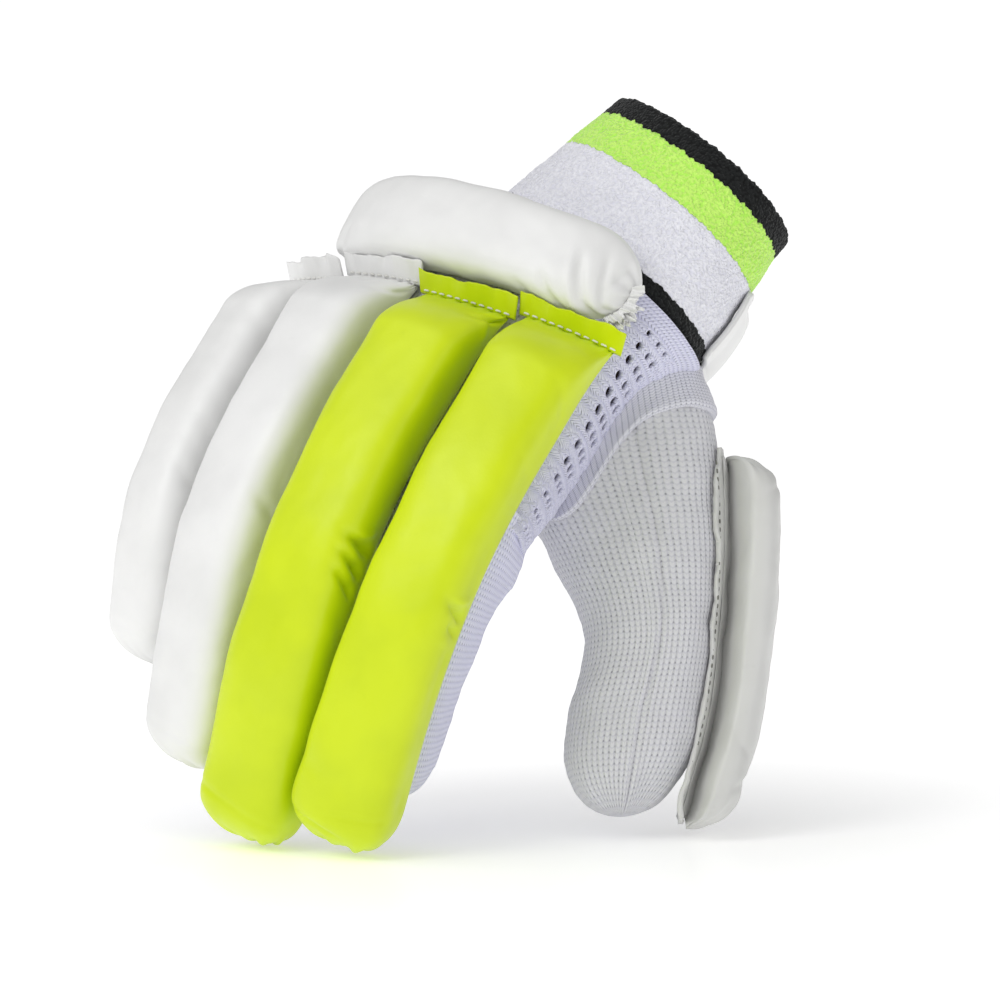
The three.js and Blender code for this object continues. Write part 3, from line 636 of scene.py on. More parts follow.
def towelling(name, base, shade, sheen=0.35):
    """Looped towelling: small round loops with dark gaps between them, coloured darker as painted shade."""
    n = Nodes(name)
    where = n.add("TexCoord").outputs["Object"]
    loops = n.add("TexVoronoi", {"Vector": where, "Scale": 1300, "Randomness": 0.9}, feature="SMOOTH_F1")
    ball = n.ramp(loops.outputs["Distance"], 0.72, 0.1)
    fuzz = n.noise(where, 3000, 3, 0.7)
    low = n.bump(ball, 0.9, 0.0004)
    top = n.bump(fuzz, 0.4, 0.00012, low)
    # painted shade: the colour darkens in the gaps between the loops
    colour = n.mix(n.ramp(ball, 0.0, 0.55, 0.25, 1.0), shade, base)
    patch = n.noise(where, 120, 3)
    colour = n.mix(n.ramp(patch, 0.45, 0.8, 0, 0.15), colour, shade)
    rough = n.ramp(fuzz, 0.3, 0.7, 0.85, 1.0, "LINEAR")
    return n.finish(colour, rough, top, Sheen_Weight=sheen, Sheen_Roughness=0.5, Specular_IOR_Level=0.15)


LIME = vinyl("lime_vinyl", linear(212, 231, 6), linear(202, 222, 3))
WHITE = vinyl("white_vinyl", linear(238, 238, 237), linear(229, 229, 228))
KNIT = knit("white_knit", linear(223, 223, 227), linear(210, 210, 217), 1.75, 1.6, 0.0005)
FINE_KNIT = knit("fine_knit", linear(228, 228, 248), linear(205, 205, 232), 1.3, 1.7, 0.0003)
TERRY = towelling("white_towelling", linear(243, 243, 250), linear(226, 226, 238))
LIME_TERRY = towelling("lime_towelling", linear(208, 255, 118), linear(176, 246, 84))
BLACK_TERRY = towelling("black_towelling", linear(30, 32, 32), linear(8, 8, 8), 0.15)
THREAD = vinyl("white_thread", linear(240, 240, 236), linear(214, 214, 208))
DARK_THREAD = vinyl("grey_thread", linear(120, 120, 114), linear(90, 90, 86))


# Finger rolls


def width_at(finger, at):
    """Width of a finger's roll, which changes evenly from the knuckle to the tip."""
    return finger["width"] * lerp(1, finger["tip"], max(0, at / finger["lower"]))


def crease(s, angle, at, centre, slant, width, reach):
    """A sharp fold line across a roll: 1 on its line, 0 away from it."""
    ds = s - at - slant * np.sin(angle - centre)
    da = np.angle(np.exp(1j * (angle - centre)))
    return bell(ds, 0, width) * np.exp(-(da / reach) ** 4)


def creased(out, s, angle, creases):
    """Heights of a cover with a table's creases pressed in."""
    for at, centre, slant, width, reach, depth in creases:
        out = out - depth * crease(s, angle, at, math.radians(centre), slant, width, reach)
    return out


def finger_roll(finger, material, slot, seed):
    start, end = -ROLL_UPPER * finger["upper"], finger["lower"]
    places = spread(start, end, ROLL_TOP_TAPER, ROLL_TIP_ROUND, 40, 140)
    angle = full_turn(96)
    taper = 1 - np.maximum(0, 1 - (places - start + 0.5) / ROLL_TOP_TAPER) ** 1.7
    thin = taper * end_round(end - places, ROLL_TIP_ROUND * 0.8, 2.2)
    narrow = end_round(places - start + 0.4, finger["corner"], 3)
    narrow = narrow * end_round(end - places, ROLL_TIP_ROUND, 2.2)
    rings, middles = [], []
    for at, t, w in zip(places, thin, narrow):
        centre, side, _, back = finger_frame(finger, at)
        deep = ROLL_DEPTH / 2 * t
        press = ROLL_PRESS * min(1, (at - start) / 8) * t
        x, y = round_box(angle, width_at(finger, at) / 2 * w + press, deep, 3.3)
        middle = centre + back * (BACK + SEAM_GAP + deep)
        rings.append(middle + np.outer(x, side) + np.outer(y, back))
        middles.append(middle)
    p, middles = np.array(rings), np.array(middles)
    n = outward_normals(p, True, middles)
    s, a = places[:, None], angle[None, :]
    body = np.clip(np.minimum(places - start, end - places) / 10, 0, 1)[:, None]
    upper = np.clip(np.sin(a) * 2 + 1, 0, 1)
    out = wave_noise(p, 42, seed) * 0.45 * body + wave_noise(p, 15, seed + 1) * 0.16 * body
    out = out + 0.5 * bell(a, math.pi / 2, 0.9) * body
    out = creased(out, s, a, ROLL_CREASES[finger["name"]])
    # puckers where the cover is sewn down, and small pleats round the tip
    out = out + bell(s, start, 3.2) * 0.35 * np.sin(a * 17 + seed) * upper
    out = out + bell(s, end, 4.5) * (0.55 * np.sin(a * 9 + seed * 1.7) + 0.3 * np.sin(a * 15 + seed)) * upper
    p = p + n * np.where(np.sin(a) < -0.6, 0, out * upper)[..., None]
    v = np.linspace(0, 2 * (finger["width"] + ROLL_DEPTH), len(angle) + 1)
    obj = tube(finger["name"] + "_roll_cover", p, places, v, material, (finger["name"] + "_roll",))
    return obj


# Seam flaps and the stitch line along them


def flap_point(finger, share, across, lift, seed, fray=0.0):
    """Point of a seam flap: share runs from its stitch line to its ragged edge."""
    top = -ROLL_UPPER * finger["upper"] - SEAM_GAP
    edge = share ** 1.5
    wave = 0.9 * edge * np.sin(across * 0.42 + seed) + 0.5 * edge * np.sin(across * 1.1 + seed * 2.3)
    height = FLAP_FOOT + share * (FLAP_TALL + fray)
    point = on_arch(finger["offset"] + across, BACK + SEAM_GAP + lift + height + wave * 0.6)
    point[..., 1] = top + FLAP_OVER - share * (FLAP_REACH + 0.25 * fray) + 0.3 * wave
    return point


def seam_flap(finger, material, slot, seed):
    rows, cols = 14, 90
    u, v = np.linspace(0, 1, rows), np.linspace(-0.5, 0.5, cols) * (finger["width"] + 0.5)
    rag = 0.8 * np.sin(v * 0.21 + seed * 3) + 0.3 * np.sin(v * 0.7 + seed) + 0.1 * np.sin(v * 2.3 + seed)
    rag = rag + 0.4 * np.abs(np.sin(v * 0.3 + seed)) ** 12
    share, across = np.meshgrid(u, v, indexing="ij")
    fray = np.broadcast_to(rag, share.shape)
    face = flap_point(finger, share, across, FLAP_WALL, seed, fray)
    back = flap_point(finger, share, across, 0.15, seed, fray)
    shell(finger["name"] + "_flap_cover", face, back, u * 7, v, material, (finger["name"] + "_flap",))


def roll_stitches(finger, seed):
    """Dashes of thread on a flap's face, beside the roll."""
    dashes = []
    width = finger["width"] - 1.6
    count = int(width / STITCH_PITCH)
    for k in range(count):
        x = np.linspace(0, STITCH_LENGTH, 7) + (k + 0.2) * width / count - width / 2
        p = flap_point(finger, np.full(7, 0.14), x, FLAP_WALL, seed)
        p[:, 2] += 0.2 * np.sin(np.linspace(0, math.pi, 7))
        p[:, 1] += 0.25
        dashes.append(p)
    return dashes


# Knuckle pad


def cross_section(across, angle):
    """Points of the knuckle pad's skin."""
    half = CROSS_LENGTH / 2
    near = half - np.abs(across)
    size = end_round(near, CROSS_ROUND, 2.3)
    deep = CROSS_DEPTH / 2 * end_round(near, CROSS_TAPER, 2.3)
    x, y = round_box(angle, CROSS_WIDTH / 2 * size, deep, 2.9)
    p = on_arch(across + CROSS_SHIFT, BACK + SEAM_GAP - CROSS_SINK + deep + y)
    bend = CROSS_BEND * np.maximum(0, across / half) ** 2
    p[..., 1] = -ROLL_UPPER - CROSS_SETBACK - CROSS_WIDTH / 2 + x + bend
    return p


def knuckle_pad():
    half = CROSS_LENGTH / 2
    places = spread(-half, half, CROSS_ROUND, CROSS_ROUND, 36, 130)
    angle = full_turn(120)
    p = cross_section(places[:, None], angle[None, :])
    n = outward_normals(p, True, p.mean(1))
    s, a = places[:, None], angle[None, :]
    body = np.clip((half - np.abs(places)) / 12, 0, 1)[:, None]
    out = wave_noise(p, 34, 31) * 0.5 * body + wave_noise(p, 12, 32) * 0.14
    out = creased(out, s, a, CROSS_CREASES)
    out = out + 0.25 * bell(s, -half, 5) * np.sin(a * 11)
    out = np.where(np.sin(a) < -0.75, 0, out)
    p = p + n * out[..., None]
    v = np.linspace(0, 2 * (CROSS_WIDTH + CROSS_DEPTH), len(angle) + 1)
    obj = tube("knuckle_pad_cover", p, places, v, WHITE, ("knuckle_pad",))


def pad_gathers():
    """Frayed strips of vinyl bunched up round the foot of the knuckle pad's thumb end."""
    middle = (CROSS_SHIFT - CROSS_LENGTH / 2 + 13,
              -ROLL_UPPER - CROSS_SETBACK - CROSS_WIDTH / 2 + CROSS_BEND)
    for k, (first, last, near) in enumerate(PAD_GATHERS):
        share = np.linspace(0, 1, 110)[None, :]
        row = np.linspace(0, 1, 14)[:, None]
        turned = np.radians(lerp(first, last, share))
        crimp = np.sin(share * (37 + 5 * k) + k) + 0.6 * np.sin(share * 71 + 2 * k)
        crimp = crimp + 0.3 * np.sin(share * 130)
        ragged = 1 + 0.22 * np.sin(share * 19 + 2 * k) + 0.12 * np.sin(share * 63 + k)
        reach = near + row * (3.6 - 0.4 * k) * ragged + 0.35 * crimp * row
        up = 1.6 + 1.1 * k + row * 1.2 + 0.75 * crimp * (0.25 + row)
        across = middle[0] - reach * np.cos(turned)
        face = on_arch(across, BACK + SEAM_GAP + up + 0.7)
        back = on_arch(across, BACK + SEAM_GAP + up)
        face[..., 1] = back[..., 1] = middle[1] + reach * np.sin(turned)
        shell("pad_gather_%d" % (k + 1), face, back, row[:, 0] * 4, share[0] * 20, WHITE)


# Hand panels


def hand_point(at, degrees, inset=0.0):
    """Point of the hand's cloth: 0 wrist to 1 finger stalls; 0 degrees faces the thumb, 90 the back."""
    at, degrees = np.broadcast_arrays(np.asarray(at, float), np.asarray(degrees, float))
    value = {c: table_at(HAND_SECTIONS, at, c) for c in ("width", "shift", "palm", "arch", "lean", "power")}
    plain = lerp(WRIST_DEPTH, STALL_DEPTH, np.minimum(1, at / HAND_SECTIONS[2]["at"]))
    deep = lerp(plain, PALM_DEPTH, value["palm"]) / 2
    wide = lerp(WRIST_WIDTH, ROW_WIDTH - 2 * STALL_INSET, value["width"]) / 2
    across = lerp(WRIST_SHIFT, ROW_MIDDLE, value["shift"])
    y0 = -HAND_LENGTH + at * (HAND_LENGTH + STALL_START - SEAM_GAP)
    lean, dip = np.radians(CUFF_LEAN) * value["lean"], np.radians(CUFF_DIP) * value["lean"]
    x, y = round_box(np.radians(degrees), wide - inset, deep - inset, value["power"])
    p = on_arch(across - x, y + BACK - deep - WRIST_DROP * value["lean"], value["arch"])
    p[..., 1] = y0 + x * np.tan(lean) - y * np.tan(dip)
    bent = np.maximum(0, y0 + KNUCKLE_REACH)
    p[..., 2] -= bent ** 2 / (4 * KNUCKLE_REACH) * math.sin(math.radians(FINGERS[MIDDLE]["flex"]))
    return p


def solid_tree(rings):
    """Search tree of a closed skin of rings, and the sign that makes its normals face out."""
    rows, cols = rings.shape[:2]
    index, _ = grid_faces(rows, cols, True)
    verts = np.vstack([rings.reshape(-1, 3), rings[0].mean(0), rings[-1].mean(0)])
    faces = index.tolist() + [list(face) for face, _, _ in end_fans(rows, cols)]
    normals = grid_normals(rings, True)
    middle = rings.mean(1)[:, None]
    sign = 1 if ((rings - middle) * normals).sum() > 0 else -1
    return BVHTree.FromPolygons(verts.tolist(), faces), sign


def depth_in(tree, points):
    """How deep points lie inside a closed skin; negative outside."""
    bvh, sign = tree
    out = []
    for p in np.asarray(points).reshape(-1, 3).tolist():
        near, normal, _, distance = bvh.find_nearest(p)
        inside = sign * (Vector(p) - near).dot(normal) < 0
        out.append(distance if inside else -distance)
    return np.array(out).reshape(np.asarray(points).shape[:-1])


def face_keep(inside, wrap):
    """Faces of a grid with at least one corner that isn't inside."""
    if wrap:
        inside = np.hstack([inside, inside[:, :1]])
    return ~(inside[:-1, :-1] & inside[1:, :-1] & inside[:-1, 1:] & inside[1:, 1:]).ravel()


# Thumb's frame, with x out of its back, y across it and z towards its tip
THUMB_DIRECTION = unit(vec(*THUMB_AIM))
THUMB_OUT = unit(vec(*THUMB_BACK) - THUMB_DIRECTION * (vec(*THUMB_BACK) @ THUMB_DIRECTION))
THUMB_ACROSS = np.cross(THUMB_DIRECTION, THUMB_OUT)


def from_thumb(x, y, z):
    x, y, z = np.broadcast_arrays(x, y, z)
    return (vec(*THUMB_ROOT) + x[..., None] * THUMB_OUT + y[..., None] * THUMB_ACROSS
            + z[..., None] * THUMB_DIRECTION)


def thumb_station(at):
    share = np.asarray(at, float) / THUMB_LENGTH
    return (table_at(THUMB_SECTIONS, share, "bow") * THUMB_DEPTH,
            table_at(THUMB_SECTIONS, share, "deep") * THUMB_DEPTH / 2,
            table_at(THUMB_SECTIONS, share, "wide") * THUMB_WIDTH / 2)


def thumb_point(at, angle, inset=0.0):
    """Point of the thumb stall; angle 90 degrees faces out of the thumb's back."""
    at, angle = np.broadcast_arrays(np.asarray(at, float), np.asarray(angle, float))
    bow, deep, wide = thumb_station(at)
    size = end_round(THUMB_LENGTH - inset - at, THUMB_WIDTH / 2 - inset, 2)
    x, y = round_box(angle, (wide - inset) * size, (deep - inset) * size, 2.5)
    return from_thumb(bow + y, x, at)


HAND_TREE = solid_tree(hand_point(np.linspace(0, 1, 60)[:, None],
                                  np.linspace(0, 360, 120, endpoint=False)[None, :]))
THUMB_TREE = solid_tree(thumb_point(np.linspace(0, THUMB_LENGTH - 0.3, 90)[:, None], full_turn(90)[None, :]))


def arc_lengths(p):
    """Distance along each row of a grid of points."""
    step = np.linalg.norm(np.diff(p, axis=1), axis=-1)
    return np.hstack([np.zeros((len(p), 1)), np.cumsum(step, 1)])


def hemmed(soft, edge, reach, high):
    """Heights of cloth that fade towards its edge, with a raised hem and a groove at the seam."""
    return soft * np.clip(edge / reach, 0, 1) + high * bell(edge, 1.6, 0.9) - 0.3 * bell(edge, 0, 0.8)


def panel(name, start_seam, end_seam, turned, seed):
    """Knitted panel of the hand between two seams, the second one turned on by some degrees."""
    at = np.linspace(0, 1, 115)
    lo = table_at(start_seam, at, "angle") + SEAM_ANGLE
    hi = table_at(end_seam, at, "angle") + turned - SEAM_ANGLE
    degrees = lerp(lo[:, None], hi[:, None], np.linspace(0, 1, 130)[None, :])
    outer, inner = hand_point(at[:, None], degrees), hand_point(at[:, None], degrees, KNIT_WALL)
    out = unit(outer - inner)
    v = arc_lengths(outer)
    v = v - v[:, -1:] / 2
    soft = wave_noise(outer, 26, seed) * 0.35 + wave_noise(outer, 9, seed + 1) * 0.12
    edge = np.minimum(v - v[:, :1], v[:, -1:] - v)
    outer = outer + out * hemmed(soft, edge, 6, 0.5)[..., None]
    inside = depth_in(THUMB_TREE, outer) > CUT_DEPTH
    obj = shell(name + "_cloth", outer, inner, at * (HAND_LENGTH + STALL_START), v, KNIT,
                (name,), keep=face_keep(inside, False))


# Side mesh


def ease_cell(at, degrees, size):
    """Eases a square cell of the mesh's grid into a round eyelet, in place; gives each point's ring."""
    grid = np.linspace(-1, 1, 2 * CELL_STEPS + 1)
    y, x = np.meshgrid(grid, grid, indexing="ij")
    ring = np.maximum(abs(x), abs(y))
    corner = hand_point(at, degrees)
    m = CELL_STEPS
    wide = np.linalg.norm(corner[m, -1] - corner[m, 0]) / 2
    tall = np.linalg.norm(corner[-1, m] - corner[0, m]) / 2
    theta = np.arctan2(y, x)
    round_x = np.cos(theta) * EYELET_WIDTH / 2 * size / wide
    round_y = np.sin(theta) * EYELET_LENGTH / 2 * size / tall
    share = np.clip((ring - CELL_RING) / (1 - CELL_RING), 0, 1)
    inner_share = np.clip(ring / CELL_RING, 0, 1)
    new_x = np.where(ring < CELL_RING, round_x * inner_share, lerp(round_x, x, share))
    new_y = np.where(ring < CELL_RING, round_y * inner_share, lerp(round_y, y, share))
    span_at = (at[-1, m] - at[0, m]) / 2
    span_deg = (degrees[m, -1] - degrees[m, 0]) / 2
    slope = (degrees[-1, m] - degrees[0, m]) / 2
    at[:], degrees[:] = (at[m, m] + new_y * span_at,
                         degrees[m, m] + new_x * span_deg + new_y * slope)
    return ring


def mesh_grid():
    """Grid of the side mesh: its places along the hand, and its angles with square cells for the eyelets."""
    step = EYELET_RUN / (EYELET_ROWS - 1)
    first, last = EYELET_FIRST - step / 2, EYELET_FIRST + EYELET_RUN + step / 2
    at = np.concatenate([np.linspace(0, first, LEAD_ROWS + 1)[:-1],
                         np.linspace(first, last, EYELET_ROWS * 2 * CELL_STEPS + 1),
                         np.linspace(last, 1, 4)[1:]])
    row = (at - EYELET_FIRST) / step
    lo = table_at(THUMB_SIDE_SEAM, at, "angle") + SEAM_ANGLE
    hi = table_at(BACK_SEAM, at, "angle") - SEAM_ANGLE
    drift = EYELET_DRIFT * np.clip(row, -0.5, EYELET_ROWS - 0.5) / EYELET_ROWS
    start = EYELET_ANGLE - EYELET_PITCH * 1.5 + drift
    end = np.minimum(start + EYELET_PITCH * CELL_COLUMNS, hi - 3)
    left = np.linspace(0, 1, LEAD_COLUMNS + 1)[:-1]
    middle = np.linspace(0, 1, CELL_COLUMNS * 2 * CELL_STEPS + 1)
    right = np.linspace(0, 1, 12)[1:]
    degrees = np.hstack([lerp(lo[:, None], start[:, None], left), lerp(start[:, None], end[:, None], middle),
                         lerp(end[:, None], hi[:, None], right)])
    return np.repeat(at[:, None], degrees.shape[1], 1), degrees, lo[:, None], hi[:, None]


def side_mesh():
    """Lace panel on the thumb's side of the hand, with its eyelets cut and dimples beside them."""
    at, degrees, lo, hi = mesh_grid()
    hole = np.zeros(at.shape, bool)
    dip = np.zeros(at.shape)
    for i in range(EYELET_ROWS):
        full = np.sin(math.pi * np.minimum(1, (i + 1.5) / (EYELET_ROWS + 1))) ** 0.6
        for j in range(CELL_COLUMNS):
            i0, j0 = LEAD_ROWS + i * 2 * CELL_STEPS, LEAD_COLUMNS + j * 2 * CELL_STEPS
            box = (slice(i0, i0 + 2 * CELL_STEPS + 1), slice(j0, j0 + 2 * CELL_STEPS + 1))
            real = 1 <= j <= EYELET_COLUMNS
            size = full if real else DIMPLE * full
            ring = ease_cell(at[box], degrees[box], size)
            if real:
                hole[box] |= ring < CELL_RING - 0.01
            else:
                dip[box] = np.maximum(dip[box], np.clip(1 - ring / CELL_RING, 0, 1) * size * 1.6)
    outer, inner = hand_point(at, degrees), hand_point(at, degrees, MESH_WALL)
    out = unit(outer - inner)
    v = arc_lengths(outer)
    k = (at - EYELET_FIRST) / (EYELET_RUN / (EYELET_ROWS - 1))
    across = np.clip((degrees - lo) / (hi - lo), 0, 1)
    ridge = np.sin(2 * math.pi * (k + 0.5)) * np.clip(np.sin(math.pi * across), 0, 1)
    edge = np.minimum(v, v[:, -1:] - v)
    soft = wave_noise(outer, 20, 61) * 0.3 + wave_noise(outer, 5, 62) * 0.12 + 0.16 * ridge - 0.55 * dip
    outer = outer + out * hemmed(soft, edge, 4, 0.6)[..., None]
    inside = depth_in(THUMB_TREE, outer) > CUT_DEPTH
    dropped = hole[:-1, :-1] | hole[1:, :-1] | hole[:-1, 1:] | hole[1:, 1:]
    keep = face_keep(inside, False) & ~dropped.ravel()
    obj = shell("side_mesh_lace", outer, inner, at[:, 0] * (HAND_LENGTH + STALL_START), v, FINE_KNIT,
                ("side_mesh",), keep=keep)


def eyelet_shade_sheet():
    """Thin dark sheet just inside the lace, painted shade of the glove's hollow, which its eyelets show."""
    at = np.linspace(EYELET_FIRST - 0.06, min(0.995, EYELET_FIRST + EYELET_RUN + 0.03), 40)[:, None]
    degrees = np.linspace(EYELET_ANGLE - 12, EYELET_ANGLE + 2 * EYELET_PITCH + 12, 26)[None, :] + 0 * at
    degrees = degrees + EYELET_DRIFT * (at - EYELET_FIRST) / EYELET_RUN
    face = hand_point(at, degrees, MESH_WALL + 0.25)
    back = hand_point(at, degrees, MESH_WALL + 0.45)
    keep = face_keep(depth_in(THUMB_TREE, face) > CUT_DEPTH - 0.5, False)
    shell("eyelet_shade_sheet", face, back, at[:, 0] * HAND_LENGTH, degrees[0], EYELET_SHADE, keep=keep)


# Finger stalls


def finger_stall(finger, seed):
    end = finger["lower"] - STALL_SHORT
    tip = STALL_DEPTH / 2
    angle = full_turn(100)

    def grid(inset):
        k = np.arange(18) / 18 * math.pi / 2
        places = np.concatenate([np.linspace(STALL_START - 6, end - tip, 90),
                                 end - tip + (tip - inset) * np.sin(k[1:] + 0.06)])
        rings = []
        for at in places:
            size = end_round(end - inset - at, tip - inset, 2)
            wide = width_at(finger, at) / 2 - STALL_INSET - inset
            deep = lerp(STALL_DEPTH, STALL_TIP_DEPTH, math.sqrt(max(0, at / end))) / 2
            x, y = round_box(angle, wide * size, (deep - inset) * size, 3)
            centre, side, _, back = finger_frame(finger, at)
            rings.append(centre + back * (BACK - deep) + np.outer(x, side) + np.outer(y, back))
        return np.array(rings), places

    outer, places = grid(0)
    inner, _ = grid(KNIT_WALL)
    out = outward_normals(outer, True, outer.mean(1))
    soft = wave_noise(outer, 16, seed) * 0.3 + wave_noise(outer, 6, seed + 1) * 0.12
    soft = soft * np.clip((end - places) / 8, 0, 1)[:, None]
    soft = soft * np.clip(0.6 - np.sin(angle) * 1.2, 0, 1)[None, :]
    # its start is tucked in under the hand's cloth
    soft = soft - 0.9 * np.clip((STALL_START + 4 - places) / 4, 0, 1)[:, None]
    outer = outer + out * soft[..., None]
    inside = (depth_in(HAND_TREE, outer) > CUT_DEPTH) & (outer[..., 1] < STALL_START + 1)
    v = np.linspace(0, 2 * (finger["width"] + 0.8 * STALL_DEPTH), len(angle) + 1)
    name = finger["name"] + "_stall"
    obj = shell(name + "_cloth", outer, inner, places, v, FINE_KNIT, (name,), wrap=True,
                keep=face_keep(inside, True), tip=True)


# Thumb


def thumb_stall():
    angle = full_turn(160)
    tip = THUMB_WIDTH / 2
    facing = CUFF_TURN @ vec(0, 0, -1)
    away = CUFF_AT @ facing + SEAM_GAP

    def grid(inset):
        k = np.arange(26) / 26 * math.pi / 2
        places = np.concatenate([np.linspace(0.02 * THUMB_LENGTH, THUMB_LENGTH - tip, 130),
                                 THUMB_LENGTH - tip + (tip - inset) * np.sin(k[1:] + 0.04)])
        return thumb_point(places[:, None], angle[None, :], inset), places

    outer, places = grid(0)
    inner, _ = grid(KNIT_WALL)
    out = outward_normals(outer, True, outer.mean(1))
    s, a = places[:, None], angle[None, :]
    seam = np.angle(np.exp(1j * (a - THUMB_SEAM_ANGLE - 0.1 * np.sin(s / 24))))
    soft = wave_noise(outer, 30, 71) * 0.5 + wave_noise(outer, 11, 72) * 0.25
    soft = soft - 0.9 * bell(seam, 0, 0.032) + 0.3 * bell(np.abs(seam), 0.09, 0.05)
    soft = soft + bell(s, THUMB_LENGTH, 9) * (0.5 * np.sin(a * 7 + 1) + 0.3 * np.sin(a * 13))
    soft = soft * np.clip((THUMB_LENGTH - s) / 4, 0, 1)
    outer = outer + out * soft[..., None]
    shares = np.linspace(0.05, 1, 24)[:-1]

    def capped(grid_points, sunk):
        centre = grid_points[0].mean(0) + THUMB_DIRECTION * sunk
        return np.concatenate([centre + (grid_points[:1] - centre) * shares[:, None, None], grid_points])

    # a cap closes the root where it stands out of the hand
    outer, inner = capped(outer, 0), capped(inner, KNIT_WALL)
    places = np.concatenate([places[0] - (1 - shares) * THUMB_WIDTH / 2, places])
    inside = depth_in(HAND_TREE, outer) > CUT_DEPTH
    for grid_points in (outer, inner):
        past = np.minimum(grid_points @ facing - away, 0)
        if grid_points is outer:
            inside |= past < -0.5
        grid_points -= past[..., None] * facing
    v = np.linspace(0, math.pi * (THUMB_WIDTH + THUMB_DEPTH) / 2 * 1.08, len(angle) + 1)
    obj = shell("thumb_stall_cloth", outer, inner, places, v, KNIT, ("thumb_stall",), wrap=True,
                keep=face_keep(inside, True), tip=True)


def web_fold():
    """Fold of finer knit over the line where the thumb leaves the hand, with its ridge towards the thumb."""
    angle = np.radians(np.linspace(-52, 100, 120))
    at = np.linspace(0.02 * THUMB_LENGTH, 0.62 * THUMB_LENGTH, 160)
    depth = depth_in(HAND_TREE, thumb_point(at[:, None], angle[None, :]))
    first = np.interp(np.argmax(depth < 0, axis=0), np.arange(len(at)), at)
    for _ in range(8):
        first = np.convolve(np.pad(first, 2, mode="edge"), np.ones(5) / 5, "valid")
    share = np.linspace(0, 1, len(angle))
    width = FOLD_NARROW + (FOLD_WIDE - FOLD_NARROW) * share ** 0.9
    row = np.linspace(0, 1, 44)[:, None]
    place = first[None, :] - 2.5 + (width + 2.5) * row
    skin = thumb_point(place, angle[None, :])
    out = outward_normals(skin, False, thumb_point(place, angle[None, :] + math.pi))
    crest = np.clip(row / 0.86, 0, 1) ** 1.6 * end_round((1 - row) * 9, 1.3, 2)
    ends = np.clip(np.minimum(share, 1 - share) / 0.08, 0, 1)[None, :] ** 0.5
    soft = wave_noise(skin, 14, 201) * 0.35 + wave_noise(skin, 5, 202) * 0.16
    high = (0.7 + 1.5 * crest) * ends + soft * ends * np.clip(row * 4, 0, 1)
    face = skin + out * high[..., None]
    back = skin - out * 0.3
    obj = shell("web_fold_cloth", face, back, row[:, 0] * 14, share * 55, FOLD_KNIT)


def thumb_back(at, degrees, off):
    """Point off the thumb's back, degrees round it from its middle."""
    at, degrees = np.broadcast_arrays(np.asarray(at, float), np.asarray(degrees, float))
    bow, deep, wide = thumb_station(at)
    size = end_round(THUMB_LENGTH - at, THUMB_WIDTH / 2, 2)
    x, y = round_box(np.radians(90 + degrees), wide * size + off, deep * size + off, 2.5)
    return from_thumb(bow + y, x, at)


def flange_point(at, degrees, off):
    """Point of the flange: it lies on the thumb's back, then runs straight on past the rounded tip."""
    at, degrees = np.broadcast_arrays(np.asarray(at, float), np.asarray(degrees, float))
    bow, deep, wide = thumb_station(at)
    x, y = round_box(np.radians(90 + degrees), wide + off, deep + off, 2.5)
    straight = from_thumb(bow + y, x, at)
    leave = np.clip((at / THUMB_LENGTH - 0.8) / 0.12, 0, 1)[..., None]
    bent = thumb_back(np.minimum(at, 0.97 * THUMB_LENGTH), degrees, off)
    return lerp(bent, straight, leave ** 2 * (3 - 2 * leave))


def thumb_flange():
    start, end = THUMB_PAD_START * THUMB_LENGTH, THUMB_LENGTH + THUMB_PAD_REACH - 1.5
    at = np.linspace(start, end, 200)[:, None]
    share = np.linspace(-1, 1, 56)[None, :]
    rim = np.clip((np.abs(share) - 0.72) / 0.28, 0, 1)
    wavy = wave_noise(np.stack(np.broadcast_arrays(at * 0.8, share * 20, 0 * at), -1), 9, 81, 3)
    ends = 1 - 0.3 * bell(at, start, 5) - 0.3 * bell(at, end, 4)
    waver = 3.2 * rim * np.sin(at / 4.4 + 2 * share) * 0.5 + 3.0 * rim * wavy
    degrees = share * ends * (THUMB_FLANGE_SHOWN + waver)
    tuck = bell(at, end - 10, 2.2) + 0.7 * bell(at, start + 6, 2)
    lift = rim * (0.45 + 0.55 * wavy + 0.25 * np.sin(at / 2.3 + share * 3) + 1.1 * tuck)
    groove = bell(np.abs(share), 0.88, 0.03)
    lift = lift - 0.45 * groove * (0.7 + 0.3 * np.sin(at * 2.6))
    face = flange_point(at, degrees, 2 * SEAM_GAP + FLAP_WALL + lift)
    back = flange_point(at, degrees, 2 * SEAM_GAP + np.minimum(0, lift) + 0.4 * np.maximum(0, lift))
    v = np.linspace(-15, 15, 56)
    obj = shell("thumb_flange_cover", face, back, at[:, 0], v, PAD_VINYL, ("thumb_flange",))
    # stitches along the foot of the pad's cover
    dashes = []
    for side in (-1, 1):
        for k in range(int((end - start - 8) / PAD_STITCH_PITCH)):
            spot = start + 4 + PAD_STITCH_PITCH * k + np.linspace(0, 1.3, 5)
            turned = side * 0.5 * (THUMB_PAD_FOOT + THUMB_FLANGE_SHOWN) * np.ones(5)
            dashes.append(flange_point(spot, turned, 2 * SEAM_GAP + FLAP_WALL + 0.25))
    threads("thumb_pad_stitches", dashes, 0.26, DARK_THREAD)


